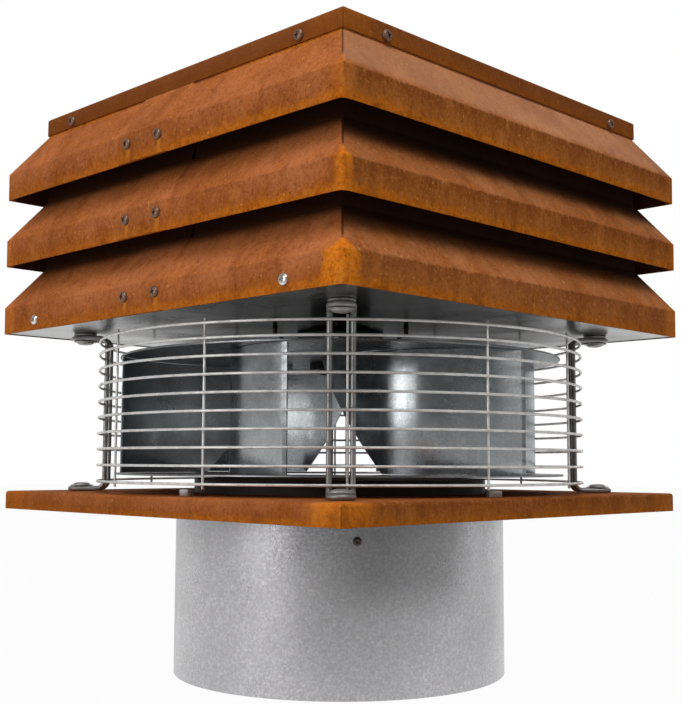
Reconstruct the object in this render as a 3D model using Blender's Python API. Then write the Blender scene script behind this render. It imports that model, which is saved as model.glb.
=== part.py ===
"""Chimney draught fan: a square roof fan that hangs under a louvred hood.

Flue gas comes up the round pipe, through the inlet collar into the eye of a
backward-curved rotor, and leaves sideways through a wire guard. Four bent rod
loops carry the hood, and the motor sits dry in the hood on a flat underplate.

Frame: origin at the centre of the pipe's lower end, +Z up, hood sides along X and Y.
Lengths below are in millimetres and angles in degrees; meshes are made in metres.
"""
import math

import bmesh
import bpy
from mathutils import Matrix, Vector

MM = 0.001

# Clearances and sheet
GAP = 0.3                 # left between pieces that touch
SHEET = 1.2               # weathering steel sheet of hood and base
BEND = 2.4                # outer radius of the folds on the base plate and the lid
SEAT = 0.1                # depth by which a fused head sinks into its sheet
WELD = 0.3                # depth of the spot welds between wires

# Flue pipe
PIPE_RADIUS = 136.5
PIPE_WALL = 1.5
PIPE_SHOWS = 130.7        # length below the base plate's skirt

# Base plate
BASE_HALF = 200.0
BASE_SKIRT = 14.8

# Inlet collar
COLLAR_RADIUS = 122.0
COLLAR_WALL = 2.0
COLLAR_RISE = 11.5        # above the base plate
COLLAR_SLEEVE = 42.0      # depth of the sleeve inside the pipe
PIPE_RIVET_DROP = 32.1    # below the base plate's top face
PIPE_RIVET_TURN = 5.2     # from the diagonals
PIPE_RIVET_RADIUS = 2.0
PIPE_RIVET_HEAD = 3.2
PIPE_RIVET_RISE = 1.2

# Hood: three like louvre tiers under a flat lid
HOOD_FLOOR_RISE = 132.7   # base plate's top face to the lowest edge of the hood
TIER_HALF = 203.9
TIER_RIM = 22.4
TIER_PITCH = 58.2
TIER_RISE = 34.0          # height of the sloping part
TIER_RUN = 24.2           # width of the sloping part
UPSTAND = 12.8
LID_SKIRT = 14.7
LID_LIFT = 0.6            # of the lid's skirt over the top of the slope
LAP_START = 22.0          # inner end of each tier's strip, on its -Y side
LAP_END = -35.0           # outer end
LAP_JOGGLE = 2.0
LAP_SCREWS = (-25.5, 13.0)
LAP_SCREW_DROP = 8.4      # below the rim's top edge
LID_SCREW_SPREAD = 140.0
LID_SCREW_DROP = 9.9      # below the lid's top
RIM_SCREW_SPREAD = 152.0
RIM_SCREW_RISE = 8.1      # above the rim's lower edge
POST_LEG = 25.0
POST_WALL = 2.0

# Underplate
PLATE_INSET = 0.5         # above the hood's lowest edge
PLATE_FLANGE = 11.0

# Sheet-metal screws
SCREW_HEAD_RADIUS = 4.1
SCREW_HEAD = 2.7
SCREW_RADIUS = 2.1
SCREW_LENGTH = 9.0

# Wire guard
RING_RADIUS = 201.0       # to the middle of the wire
RING_WIRE = 2.1           # wire diameter
RING_COUNT = 10
RING_FLATS = 2            # straight lengths of a ring between two uprights
WIRE_SIDES = 4
RING_PITCH = 12.75
RING_TOP_STEP = 10.75     # between the two highest rings
RING_LOWEST = 9.25        # above the base plate
UPRIGHT_COUNT = 12
UPRIGHT_WIRE = 2.0
UPRIGHT_TURN = 1.25       # of the first upright from the diagonal
UPRIGHT_OVERHANG = 3.5

# Rod loops between base plate and underplate
ROD = 4.0
ROD_SPREAD = 16.3         # between the two uprights of a loop
ROD_REACH = 229.5         # outermost point of a loop's foot, from the axis
ROD_BEND = 7.0
LOOP_BOLT_RADIUS = 4.0
LOOP_BOLT_PLACE = 218.0   # from the axis, on the diagonals
LOOP_BOLT_HEAD = 7.0
LOOP_BOLT_DOME = 2.2
LOOP_WASHER_RADIUS = 9.6
LOOP_WASHER = 1.0
SPACER_WASHER = 1.6       # between underplate and rod
NUT_M8_ACROSS = 13.0
NUT_M8 = 6.5

# Bolts at the sides of the base plate
SIDE_BOLT_INSET = 22.5
SIDE_BOLT_OFFSET = 20.0
SIDE_BOLT_RADIUS = 3.0
NUT_M6_ACROSS = 10.0
NUT_M6 = 5.0

# Rotor
ROTOR_CLEARANCE = 12.25   # between the inlet ring and the guard's uprights
ROTOR_DISC_INSET = 1.5    # of the disc's rim behind the inlet ring's
ROTOR_SHEET = 1.5
ROTOR_RING_WIDTH = 68.0   # of the inlet ring, from its rim to the eye
ROTOR_RING_RISE = 14.3    # base plate to the lower face of the inlet ring
ROTOR_DISC_RISE = 109.2   # base plate to the lower face of the disc
BLADE_COUNT = 6
BLADE_TIP_INSET = 2.0     # behind the inlet ring's rim
BLADE_CURVE = 110.0       # radius of curvature
BLADE_EXIT = 23.3         # between the blade's tip and the rim
BLADE_SWEEP_LOW = 57.8    # length of the lower edge, as an angle of the curve
BLADE_SWEEP_HIGH = 97.0   # length of the upper edge
BLADE_REST_TURN = -56.7   # of the first tip from +X
BLADE_STEPS = 8

# Hub, shaft and motor
SHAFT_RADIUS = 7.5
SHAFT_TAIL = 9.4          # below the rotor disc
HUB_RADIUS = 26.0
HUB_HEIGHT = 15.0
HUB_CLAMP = 6.0           # thickness of the clamp plate under the disc
HUB_CLAMP_FLOOR = 1.8     # left over the nut's pocket in it
HUB_POCKET_ROOM = 2.5     # round the nut, for a socket
HUB_SCREW_CIRCLE = 19.5
HUB_SCREW_COUNT = 4
HUB_SCREW_BITE = 3.0      # depth of the screws in the hub, with their clearances
NUT_M12_ACROSS = 18.0
NUT_M12 = 6.0
MOTOR_BOSS_RADIUS = 37.0
MOTOR_BOSS_DROP = 3.0     # below the underplate
MOTOR_FLANGE_RADIUS = 85.0
MOTOR_FLANGE = 5.0
MOTOR_RADIUS = 62.0
MOTOR_HEIGHT = 100.0      # above the flange
MOTOR_BOLT_CIRCLE = 75.0
MOTOR_BOLT_RADIUS = 3.0
MOTOR_COVER = 12.0
BEARING_RADIUS = 17.5
BEARING_WIDTH = 11.0
BOX_SIZE = (34.0, 70.0, 50.0)
BOX_WALL = 3.0
BOX_LID = 4.0
GLAND_RADIUS = 9.0
GLAND_LENGTH = 16.0

# Levels worked out from the sizes above
BASE_TOP = PIPE_SHOWS + BASE_SKIRT
BASE_UNDER = BASE_TOP - SHEET
HOOD_FLOOR = BASE_TOP + HOOD_FLOOR_RISE
PLATE_UNDER = HOOD_FLOOR + PLATE_INSET
PLATE_TOP = PLATE_UNDER + SHEET
TIER_FLOORS = [HOOD_FLOOR + i * TIER_PITCH for i in range(3)]
LID_UNDER = TIER_FLOORS[-1] + TIER_RIM + TIER_RISE + LID_LIFT
LID_TOP = LID_UNDER + LID_SKIRT
UPSTAND_HALF = TIER_HALF - TIER_RUN
LID_HALF = UPSTAND_HALF + GAP + SHEET
RING_LEVELS = [BASE_TOP + RING_LOWEST + i * RING_PITCH for i in range(RING_COUNT - 1)]
RING_LEVELS.append(RING_LEVELS[-1] + RING_TOP_STEP)
ROTOR_RADIUS = RING_RADIUS - RING_WIRE / 2.0 - UPRIGHT_WIRE + WELD - ROTOR_CLEARANCE
ROTOR_EYE = ROTOR_RADIUS - ROTOR_RING_WIDTH
ROTOR_DISC_RADIUS = ROTOR_RADIUS - ROTOR_DISC_INSET
BLADE_TIP_RADIUS = ROTOR_RADIUS - BLADE_TIP_INSET
ROTOR_RING_UNDER = BASE_TOP + ROTOR_RING_RISE
ROTOR_DISC_UNDER = BASE_TOP + ROTOR_DISC_RISE
ROTOR_DISC_TOP = ROTOR_DISC_UNDER + ROTOR_SHEET
HUB_SEAT = ROTOR_DISC_TOP + GAP
SHAFT_FOOT = ROTOR_DISC_UNDER - SHAFT_TAIL
BOSS_UNDER = PLATE_UNDER - MOTOR_BOSS_DROP
MOTOR_SEAT = PLATE_TOP + GAP
MOTOR_TOP = MOTOR_SEAT + MOTOR_FLANGE + MOTOR_HEIGHT
RING_SIDES = RING_FLATS * UPRIGHT_COUNT
SQUARE = math.sqrt(2.0)

# Finishes: colour, roughness, metallic
FINISHES = {
    "weathering_steel": ((0.36, 0.13, 0.035), 0.8, 0.1),
    "galvanised": ((0.58, 0.60, 0.61), 0.42, 0.85),
    "zinc_wire": ((0.62, 0.60, 0.57), 0.4, 0.8),
    "black_steel": ((0.02, 0.02, 0.022), 0.5, 0.3),
    "rusty_screw": ((0.12, 0.09, 0.075), 0.6, 0.6),
    "bright_screw": ((0.72, 0.71, 0.69), 0.3, 0.95),
    "motor_paint": ((0.05, 0.05, 0.055), 0.45, 0.2),
    "ground_steel": ((0.55, 0.55, 0.56), 0.25, 1.0),
    "plastic": ((0.10, 0.10, 0.11), 0.5, 0.0),
}


def clear_scene():
    for obj in list(bpy.data.objects):
        bpy.data.objects.remove(obj, do_unlink=True)


def finish_material(piece, finish):
    """Each piece has a material of its own in one of the finishes."""
    colour, roughness, metallic = FINISHES[finish]
    material = bpy.data.materials.new(piece + "_" + finish)
    material.use_nodes = True
    shader = material.node_tree.nodes["Principled BSDF"]
    shader.inputs["Base Color"].default_value = (*colour, 1.0)
    shader.inputs["Roughness"].default_value = roughness
    shader.inputs["Metallic"].default_value = metallic
    material.diffuse_color = (*colour, 1.0)
    return material


def add_object(name, bm, finish, height=0.0, turn=0.0, parent=None, smooth=35.0):
    """Turn a mesh drawn in millimetres into a placed object."""
    bmesh.ops.remove_doubles(bm, verts=bm.verts, dist=0.001)
    bmesh.ops.recalc_face_normals(bm, faces=bm.faces)
    bmesh.ops.scale(bm, vec=(MM, MM, MM), verts=bm.verts)
    mesh = bpy.data.meshes.new(name)
    bm.to_mesh(mesh)
    bm.free()
    mesh.shade_smooth()
    mesh.set_sharp_from_angle(angle=math.radians(smooth))
    obj = bpy.data.objects.new(name, mesh)
    bpy.context.scene.collection.objects.link(obj)
    obj.data.materials.append(finish_material(name, finish))
    obj.location = (0.0, 0.0, height * MM)
    obj.rotation_euler = (0.0, 0.0, math.radians(turn))
    if parent is not None:
        obj.parent = parent
        obj.location.z -= parent.location.z
    return obj


def join_sections(bm, sections, closed):
    """Skin a row of like outlines; an open row gets a face on each end."""
    rows = [[bm.verts.new(point) for point in section] for section in sections]
    pairs = list(zip(rows, rows[1:]))
    if closed:
        pairs.append((rows[-1], rows[0]))
    for near, far in pairs:
        for i in range(len(near)):
            j = (i + 1) % len(near)
            bm.faces.new((near[i], near[j], far[j], far[i]))
    if not closed:
        bm.faces.new(rows[0])
        bm.faces.new(list(reversed(rows[-1])))


def turn_outline(bm, outline, count, start=0.0, spread=1.0, place=Matrix()):
    """Turn an outline of (radius, height) about Z.

    An outline whose ends lie on the axis is closed there by a point; any other
    is a closed ring section. A third value "hex" makes that point hexagonal.
    """
    angles = [math.radians(start) + 2.0 * math.pi * k / count for k in range(count)]
    rings = []
    for point in outline:
        radius = point[0] * spread
        if radius < 1e-9:
            rings.append([bm.verts.new(place @ Vector((0.0, 0.0, point[1])))])
            continue
        flats = [math.cos(math.pi / 6.0) if len(point) > 2 and k % 2 else 1.0 for k in range(count)]
        rings.append([
            bm.verts.new(place @ Vector((radius * f * math.cos(a), radius * f * math.sin(a), point[1])))
            for a, f in zip(angles, flats)
        ])
    pairs = list(zip(rings, rings[1:]))
    if len(rings[0]) > 1:
        pairs.append((rings[-1], rings[0]))
    for low, high in pairs:
        for k in range(count):
            n = (k + 1) % count
            corners = [low[k % len(low)], low[n % len(low)], high[n % len(high)], high[k % len(high)]]
            bm.faces.new(list(dict.fromkeys(corners)))


def turned(outline, count, **options):
    bm = bmesh.new()
    turn_outline(bm, outline, count, **options)
    return bm


def squared(outline):
    """A folded square sheet: each outline point is (half width, height)."""
    return turned(outline, 4, start=45.0, spread=SQUARE)


def tube_outline(inner, outer, low, high):
    return [(inner, low), (outer, low), (outer, high), (inner, high)]


def bend_points(half, level, radius, steps=3):
    """Points of a fold from a vertical skirt below into a flat top."""
    points = []
    for i in range(steps + 1):
        a = math.radians(90.0 * i / steps)
        points.append((half - radius + radius * math.cos(a), level - radius + radius * math.sin(a)))
    return points


def tray_outline(half, low, top, sheet, bend):
    """A square tray, open below, with rounded folds."""
    outer = bend_points(half, top, bend)
    inner = bend_points(half - sheet, top - sheet, bend - sheet)
    return [(0.0, top)] + outer[::-1] + [(half, low), (half - sheet, low)] + inner + [(0.0, top - sheet)]


def offset_strip(points, thickness):
    """Close an open line of (half, height) points into a sheet of even thickness."""
    inner = []
    for i, point in enumerate(points):
        here = Vector(point)
        normals = []
        for a, b in ((i - 1, i), (i, i + 1)):
            if a >= 0 and b < len(points):
                run = (Vector(points[b]) - Vector(points[a])).normalized()
                normals.append(Vector((-run.y, run.x)))
        mean = sum(normals, Vector((0.0, 0.0))).normalized()
        inner.append(here + mean * thickness / mean.dot(normals[0]))
    return [tuple(p) for p in points] + [tuple(p) for p in reversed(inner)]


def facing(direction, point):
    """Place something drawn along +Z at a point, looking along a direction."""
    turn = Vector((0.0, 0.0, 1.0)).rotation_difference(Vector(direction))
    return Matrix.Translation(Vector(point)) @ turn.to_matrix().to_4x4()


def combine(obj, bm, operation):
    """Cut a tool's shape out of an object, or fuse it on; the tool is drawn in millimetres."""
    bmesh.ops.recalc_face_normals(bm, faces=bm.faces)
    bmesh.ops.scale(bm, vec=(MM, MM, MM), verts=bm.verts)
    mesh = bpy.data.meshes.new("tool")
    bm.to_mesh(mesh)
    bm.free()
    tool = bpy.data.objects.new("tool", mesh)
    bpy.context.scene.collection.objects.link(tool)
    boolean = obj.modifiers.new("combine", "BOOLEAN")
    boolean.operation = operation
    boolean.solver = "EXACT"
    boolean.object = tool
    bpy.context.view_layer.update()
    solid = obj.evaluated_get(bpy.context.evaluated_depsgraph_get())
    combined = bpy.data.meshes.new_from_object(solid)
    obj.modifiers.remove(boolean)
    obj.data = combined
    bpy.data.objects.remove(tool, do_unlink=True)


def bore_holes(obj, places, radius, depth, sides=6):
    """Drill round holes, whose flats stand at the radius, along each place's Z."""
    bm = bmesh.new()
    radius /= math.cos(math.pi / sides)
    for place in places:
        outline = [(0.0, -depth), (radius, -depth), (radius, depth), (0.0, depth)]
        turn_outline(bm, outline, sides, place=place)
    combine(obj, bm, "DIFFERENCE")


def fuse_screws(obj, places, sides=6, **sizes):
    """Pan-head screws driven into the sheet that carries them, one solid with it."""
    bm = bmesh.new()
    for place in places:
        turn_outline(bm, pan_screw_outline(**sizes), sides, place=place)
    combine(obj, bm, "UNION")


def hex_bolt_outline(stack, radius, across, height, nut_over):
    """A hex bolt from its head's seat at z = 0 down through a stack, and the nut on it."""
    corner = across / math.sqrt(3.0)
    nut = -stack - GAP
    tail = nut - nut_over - radius * 0.5
    return [
        (0.0, tail), (radius, tail), (radius, nut - nut_over), (corner, nut - nut_over),
        (corner, nut), (radius, nut), (radius, GAP), (corner, GAP), (corner, height), (0.0, height),
    ]


def bolts(name, suffixes, finish, places, outline, sides):
    """One object for each bolt, with the nut and washers that are drawn up on it."""
    for suffix, place in zip(suffixes, places):
        add_object(name + "_" + suffix, turned(outline, sides, place=place), finish)


def ring_places(count, radius, height, start, direction):
    """Places on a circle about Z, each turned with its angle."""
    turns = [Matrix.Rotation(math.radians(start + 360.0 * k / count), 4, "Z") for k in range(count)]
    return [turn @ facing(direction, (radius, 0.0, height)) for turn in turns]


def side_places(offsets, half, height, sides=(0, 1, 2, 3)):
    """Places on the vertical sides of a square, looking outwards."""
    places = []
    for side in sides:
        turn = Matrix.Rotation(math.radians(90.0 * side), 4, "Z")
        for offset in offsets:
            places.append(turn @ facing((0.0, -1.0, 0.0), (offset, -half, height)))
    return places


def pan_screw_outline(length=SCREW_LENGTH, radius=SCREW_RADIUS, head=SCREW_HEAD_RADIUS, rise=SCREW_HEAD):
    """A pan head above z = 0 and its shank below."""
    return [
        (0.0, -length), (radius, -length), (radius, -SEAT), (head, -SEAT), (head * 0.7, rise), (0.0, rise),
    ]


# Flue pipe, collar and base plate
def rivet_places(radius):
    places = []
    for k in range(4):
        a = math.radians(PIPE_RIVET_TURN - 45.0 + 90.0 * k)
        out = Vector((math.cos(a), math.sin(a), 0.0))
        places.append(facing(out, out * radius + Vector((0.0, 0.0, BASE_TOP - PIPE_RIVET_DROP))))
    return places


def make_pipe():
    top = BASE_UNDER - GAP
    outline = tube_outline(PIPE_RADIUS - PIPE_WALL, PIPE_RADIUS, 0.0, top)
    pipe = add_object("spigot_pipe", turned(outline, 48), "galvanised")
    fuse_screws(pipe, rivet_places(PIPE_RADIUS), radius=PIPE_RIVET_RADIUS, head=PIPE_RIVET_HEAD,
                rise=PIPE_RIVET_RISE, length=PIPE_WALL + COLLAR_WALL + 2.0 * PIPE_RIVET_RADIUS)


def make_collar():
    """A black nozzle with a flange under the base plate and a sleeve inside the pipe."""
    sleeve = PIPE_RADIUS - PIPE_WALL - GAP
    flange = BASE_UNDER - GAP
    line = [
        (COLLAR_RADIUS, BASE_TOP + COLLAR_RISE),
        (COLLAR_RADIUS, flange),
        (sleeve, flange),
        (sleeve, flange - COLLAR_SLEEVE),
    ]
    inner = [(r - COLLAR_WALL, z) for r, z in line[:1]]
    inner += [(COLLAR_RADIUS - COLLAR_WALL, flange - COLLAR_WALL), (sleeve - COLLAR_WALL, flange - COLLAR_WALL)]
    inner += [(sleeve - COLLAR_WALL, flange - COLLAR_SLEEVE)]
    collar = add_object("inlet_collar", turned(line + inner[::-1], 36), "black_steel")
    bore_holes(collar, rivet_places(sleeve), PIPE_RIVET_RADIUS + GAP, 3.0 * COLLAR_WALL)


def side_bolt_places(height, direction):
    """One bolt on each side of the base plate, off the middle towards the front and back corners."""
    place = BASE_HALF - SIDE_BOLT_INSET
    spots = [(SIDE_BOLT_OFFSET, -place), (place, -SIDE_BOLT_OFFSET)]
    spots += [(-x, -y) for x, y in spots]
    return [facing(direction, (x, y, height)) for x, y in spots]


def diagonal_places(radius, height, direction):
    return ring_places(4, radius, height, 45.0, direction)


def make_base_plate():
    outline = tray_outline(BASE_HALF, PIPE_SHOWS, BASE_TOP, SHEET, BEND)
    plate = add_object("base_plate", squared(outline), "weathering_steel")
    up = (0.0, 0.0, 1.0)
    bore_holes(plate, [Matrix.Translation((0.0, 0.0, BASE_TOP))], COLLAR_RADIUS + GAP, 5.0 * SHEET, sides=48)
    bore_holes(plate, diagonal_places(LOOP_BOLT_PLACE, BASE_TOP, up), LOOP_BOLT_RADIUS + GAP, 5.0 * SHEET)
    bore_holes(plate, side_bolt_places(BASE_TOP, up), SIDE_BOLT_RADIUS + GAP, 5.0 * SHEET)


def make_side_bolts():
    outline = hex_bolt_outline(SHEET + GAP, SIDE_BOLT_RADIUS, NUT_M6_ACROSS, NUT_M6, NUT_M6)
    places = side_bolt_places(BASE_TOP, (0.0, 0.0, 1.0))
    bolts("side_bolt", ("left", "right", "back_right", "back_left"), "zinc_wire", places, outline, 6)


# Hood
def tier_line(floor):
    """Outer line of a tier's folded strip, from the rim's lower edge to the upstand."""
    rim = floor + TIER_RIM
    return [
        (TIER_HALF, floor), (TIER_HALF, rim),
        (UPSTAND_HALF, rim + TIER_RISE), (UPSTAND_HALF, rim + TIER_RISE + UPSTAND),
    ]


def make_tier(name, floor):
    """One strip folded round four corners, its ends lapped on the -Y side.

    The outer end has no upstand, so that what sits on the tier clears the lap.
    """
    section = offset_strip(tier_line(floor), SHEET)
    slope = math.atan2(TIER_RISE, TIER_RUN)
    lift = (SHEET + GAP) / math.sin(slope)
    trimmed = floor + TIER_RIM + TIER_RISE + LID_LIFT / 3.0

    def on_side(x, out=0.0, top=LID_TOP):
        return [(x, -(h + out), min(z, top)) for h, z in section]

    def on_corner(sx, sy):
        return [(sx * h, sy * h, z) for h, z in section]

    stations = [
        on_side(LAP_START),
        on_corner(-1, -1), on_corner(-1, 1), on_corner(1, 1), on_corner(1, -1),
        on_side(LAP_START + 3.0 * LAP_JOGGLE),
        on_side(LAP_START + 2.0 * LAP_JOGGLE, top=trimmed),
        on_side(LAP_START + LAP_JOGGLE, lift, trimmed),
        on_side(LAP_END, lift, trimmed),
    ]
    bm = bmesh.new()
    join_sections(bm, stations, closed=False)
    tier = add_object(name, bm, "weathering_steel")
    fuse_screws(tier, lap_screw_places(floor, TIER_HALF + lift))
    return tier


def lap_screw_places(floor, half):
    return side_places(LAP_SCREWS, half, floor + TIER_RIM - LAP_SCREW_DROP, sides=(0,))


def lid_screw_places(half):
    return side_places((-LID_SCREW_SPREAD, LID_SCREW_SPREAD), half, LID_TOP - LID_SCREW_DROP)


def rim_screw_places(half):
    height = HOOD_FLOOR + RIM_SCREW_RISE
    return side_places((-RIM_SCREW_SPREAD, RIM_SCREW_SPREAD), half, height, sides=(0, 2))


def make_hood():
    names = ("louvre_lower", "louvre_middle", "louvre_upper")
    tiers = [make_tier(name, floor) for name, floor in zip(names, TIER_FLOORS)]
    fuse_screws(tiers[0], rim_screw_places(TIER_HALF))
    bore_holes(tiers[2], lid_screw_places(UPSTAND_HALF), SCREW_RADIUS + GAP, 4.0 * SHEET)
    lid = add_object("lid", squared(tray_outline(LID_HALF, LID_UNDER, LID_TOP, SHEET, BEND)), "weathering_steel")
    fuse_screws(lid, lid_screw_places(LID_HALF))


def make_posts():
    """Angle posts stand on the underplate in the hood's corners and carry tiers and lid."""
    out = UPSTAND_HALF - SHEET - GAP
    inn = out - POST_LEG
    wall = out - POST_WALL
    section = [(out, out), (inn, out), (inn, wall), (wall, wall), (wall, inn), (out, inn)]
    low = PLATE_TOP + GAP
    high = LID_TOP - SHEET - GAP
    for k, name in enumerate(("front", "right", "back", "left")):
        bm = bmesh.new()
        join_sections(bm, [[(x, y, z) for x, y in section] for z in (0.0, high - low)], closed=False)
        add_object("hood_post_" + name, bm, "galvanised", height=low, turn=-90.0 + 90.0 * k)


def make_underplate():
    half = TIER_HALF - SHEET - GAP
    outline = [
        (0.0, PLATE_UNDER), (half, PLATE_UNDER), (half, PLATE_UNDER + PLATE_FLANGE),
        (half - SHEET, PLATE_UNDER + PLATE_FLANGE), (half - SHEET, PLATE_TOP), (0.0, PLATE_TOP),
    ]
    plate = add_object("underplate", squared(outline), "galvanised")
    up = (0.0, 0.0, 1.0)
    bore_holes(plate, [Matrix.Translation((0.0, 0.0, PLATE_TOP))], MOTOR_BOSS_RADIUS + GAP, 4.0 * SHEET, sides=24)
    bore_holes(plate, diagonal_places(LOOP_BOLT_PLACE, PLATE_TOP, up), LOOP_BOLT_RADIUS + GAP, 4.0 * SHEET)
    bore_holes(plate, motor_bolt_places(PLATE_TOP, up), MOTOR_BOLT_RADIUS + GAP, 4.0 * SHEET)
    bore_holes(plate, rim_screw_places(half), SCREW_RADIUS + GAP, 4.0 * SHEET)


# Guard and rod loops
def make_guard():
    """Rings spot-welded round the outside of straight uprights: one welded basket."""
    bm = bmesh.new()
    wire = RING_WIRE / 2.0
    wire_spread = 1.0 / math.cos(math.pi / WIRE_SIDES)
    ring_spread = 1.0 / math.cos(math.pi / RING_SIDES)
    corners = [math.radians(360.0 * (i + 0.5) / WIRE_SIDES) for i in range(WIRE_SIDES)]
    reach = wire * wire_spread
    section = [(RING_RADIUS + reach * math.cos(a), reach * math.sin(a)) for a in corners]
    start = UPRIGHT_TURN - 45.0
    for level in RING_LEVELS:
        place = Matrix.Translation((0.0, 0.0, level))
        turn_outline(bm, section, RING_SIDES, start=start + 180.0 / RING_SIDES, spread=ring_spread, place=place)
    guard = add_object("wire_guard", bm, "zinc_wire")

    bm = bmesh.new()
    upright = UPRIGHT_WIRE / 2.0
    low = RING_LEVELS[0] - UPRIGHT_OVERHANG
    high = RING_LEVELS[-1] + UPRIGHT_OVERHANG
    circle = RING_RADIUS - wire - upright + WELD
    for place in ring_places(UPRIGHT_COUNT, circle, 0.0, start, (0.0, 0.0, 1.0)):
        outline = [(0.0, low), (upright, low), (upright, high), (0.0, high)]
        turn_outline(bm, outline, WIRE_SIDES, start=180.0 / WIRE_SIDES, spread=wire_spread, place=place)
    combine(guard, bm, "UNION")


def loop_path(low, high):
    """Closed middle line of a rod loop, drawn in the XZ plane's direction +X."""
    side = ROD_SPREAD / 2.0
    stand = math.sqrt((RING_RADIUS - RING_WIRE / 2.0 - GAP - ROD / 2.0) ** 2 - side ** 2)
    foot = ROD_REACH - ROD / 2.0 - side

    def corner(y, level, up):
        """Quarter bend from the upright out into the foot."""
        points = []
        for i in range(3):
            a = math.radians(45.0 * i)
            x = stand + ROD_BEND * (1.0 - math.cos(a))
            z = level - up * ROD_BEND * (1.0 - math.sin(a))
            points.append(Vector((x, y, z)))
        return points

    def nose(level):
        """Half circle at the outer end, from -Y round to +Y."""
        points = []
        for i in range(5):
            a = math.radians(-90.0 + 45.0 * i)
            points.append(Vector((foot + side * math.cos(a), side * math.sin(a), level)))
        return points

    path = corner(-side, high, 1) + nose(high) + corner(side, high, 1)[::-1]
    path += corner(side, low, -1) + nose(low)[::-1] + corner(-side, low, -1)[::-1]
    return path


def make_rod_loops():
    low = BASE_TOP + GAP + ROD / 2.0
    high = PLATE_UNDER - SPACER_WASHER - 2.0 * GAP - ROD / 2.0
    for k, name in enumerate(("front", "right", "back", "left")):
        curve = bpy.data.curves.new("rod_loop_" + name, "CURVE")
        curve.dimensions = "3D"
        curve.bevel_depth = ROD / 2.0 * MM
        curve.bevel_resolution = 1
        spline = curve.splines.new("POLY")
        points = loop_path(low, high)
        spline.points.add(len(points) - 1)
        for spot, point in zip(spline.points, points):
            spot.co = (*(point * MM), 1.0)
        spline.use_cyclic_u = True
        obj = bpy.data.objects.new("rod_loop_" + name, curve)
        bpy.context.scene.collection.objects.link(obj)
        curve.materials.append(finish_material("rod_loop_" + name, "zinc_wire"))
        obj.rotation_euler.z = math.radians(-45.0 + 90.0 * k)


def make_loop_fixings():
    """A domed bolt clamps each foot of a loop, through the washer, the rod and the sheet."""
    names = ("right", "back", "left", "front")
    dome = [(LOOP_BOLT_HEAD, LOOP_WASHER), (0.0, LOOP_WASHER + LOOP_BOLT_DOME)]
    head = [(LOOP_BOLT_RADIUS, GAP), (LOOP_WASHER_RADIUS, GAP), (LOOP_WASHER_RADIUS, LOOP_WASHER)] + dome

    def nut(seat):
        corner = NUT_M8_ACROSS / math.sqrt(3.0)
        foot = seat - NUT_M8
        return [(0.0, foot), (corner, foot, "hex"), (corner, seat, "hex"), (LOOP_BOLT_RADIUS, seat)]

    rod_top = BASE_TOP + GAP + ROD
    stack = ROD + SHEET + 2.0 * GAP
    places = diagonal_places(LOOP_BOLT_PLACE, rod_top, (0.0, 0.0, 1.0))
    bolts("foot_bolt", names, "zinc_wire", places, nut(-stack) + head, 12)

    rod_under = PLATE_UNDER - 2.0 * GAP - SPACER_WASHER - ROD
    spacer_foot = -ROD - GAP
    spacer_seat = -(PLATE_UNDER - GAP - rod_under)
    spacer = [
        (LOOP_BOLT_RADIUS, spacer_seat), (LOOP_WASHER_RADIUS, spacer_seat),
        (LOOP_WASHER_RADIUS, spacer_foot), (LOOP_BOLT_RADIUS, spacer_foot),
    ]
    through = -(PLATE_TOP + GAP - rod_under)
    places = diagonal_places(LOOP_BOLT_PLACE, rod_under, (0.0, 0.0, -1.0))
    bolts("head_bolt", names, "zinc_wire", places, nut(through) + spacer + head, 12)


# Rotor
def blade_line(sweep):
    """Point on the blade's middle curve, from the tip inwards; the tip lies on +X."""
    leave = math.radians(BLADE_EXIT)
    centre = Vector((BLADE_TIP_RADIUS - BLADE_CURVE * math.cos(leave), BLADE_CURVE * math.sin(leave)))
    a = -leave - math.radians(sweep)
    out = Vector((math.cos(a), math.sin(a)))
    return centre + BLADE_CURVE * out, out


def blade_mesh(low, high):
    """A curved sheet: full height to the end of its lower edge, then cut back to a slope."""
    foot = 4.0
    sweeps = [BLADE_SWEEP_LOW * i / BLADE_STEPS for i in range(BLADE_STEPS + 1)]
    cut_steps = BLADE_STEPS // 2
    span = BLADE_SWEEP_HIGH - BLADE_SWEEP_LOW
    sweeps += [BLADE_SWEEP_LOW + span * (i + 1) / cut_steps for i in range(cut_steps)]
    sections = []
    for sweep in sweeps:
        middle, out = blade_line(sweep)
        cut = max(0.0, sweep - BLADE_SWEEP_LOW) / span
        edge = low + (high - foot - low) * cut
        outer = middle + out * ROTOR_SHEET / 2.0
        inner = middle - out * ROTOR_SHEET / 2.0
        sections.append([
            (outer.x, outer.y, edge), (outer.x, outer.y, high),
            (inner.x, inner.y, high), (inner.x, inner.y, edge),
        ])
    bm = bmesh.new()
    join_sections(bm, sections, closed=False)
    return bm


def hub_screw_places(height, direction):
    return ring_places(HUB_SCREW_COUNT, HUB_SCREW_CIRCLE, height, 0.0, direction)


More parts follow.
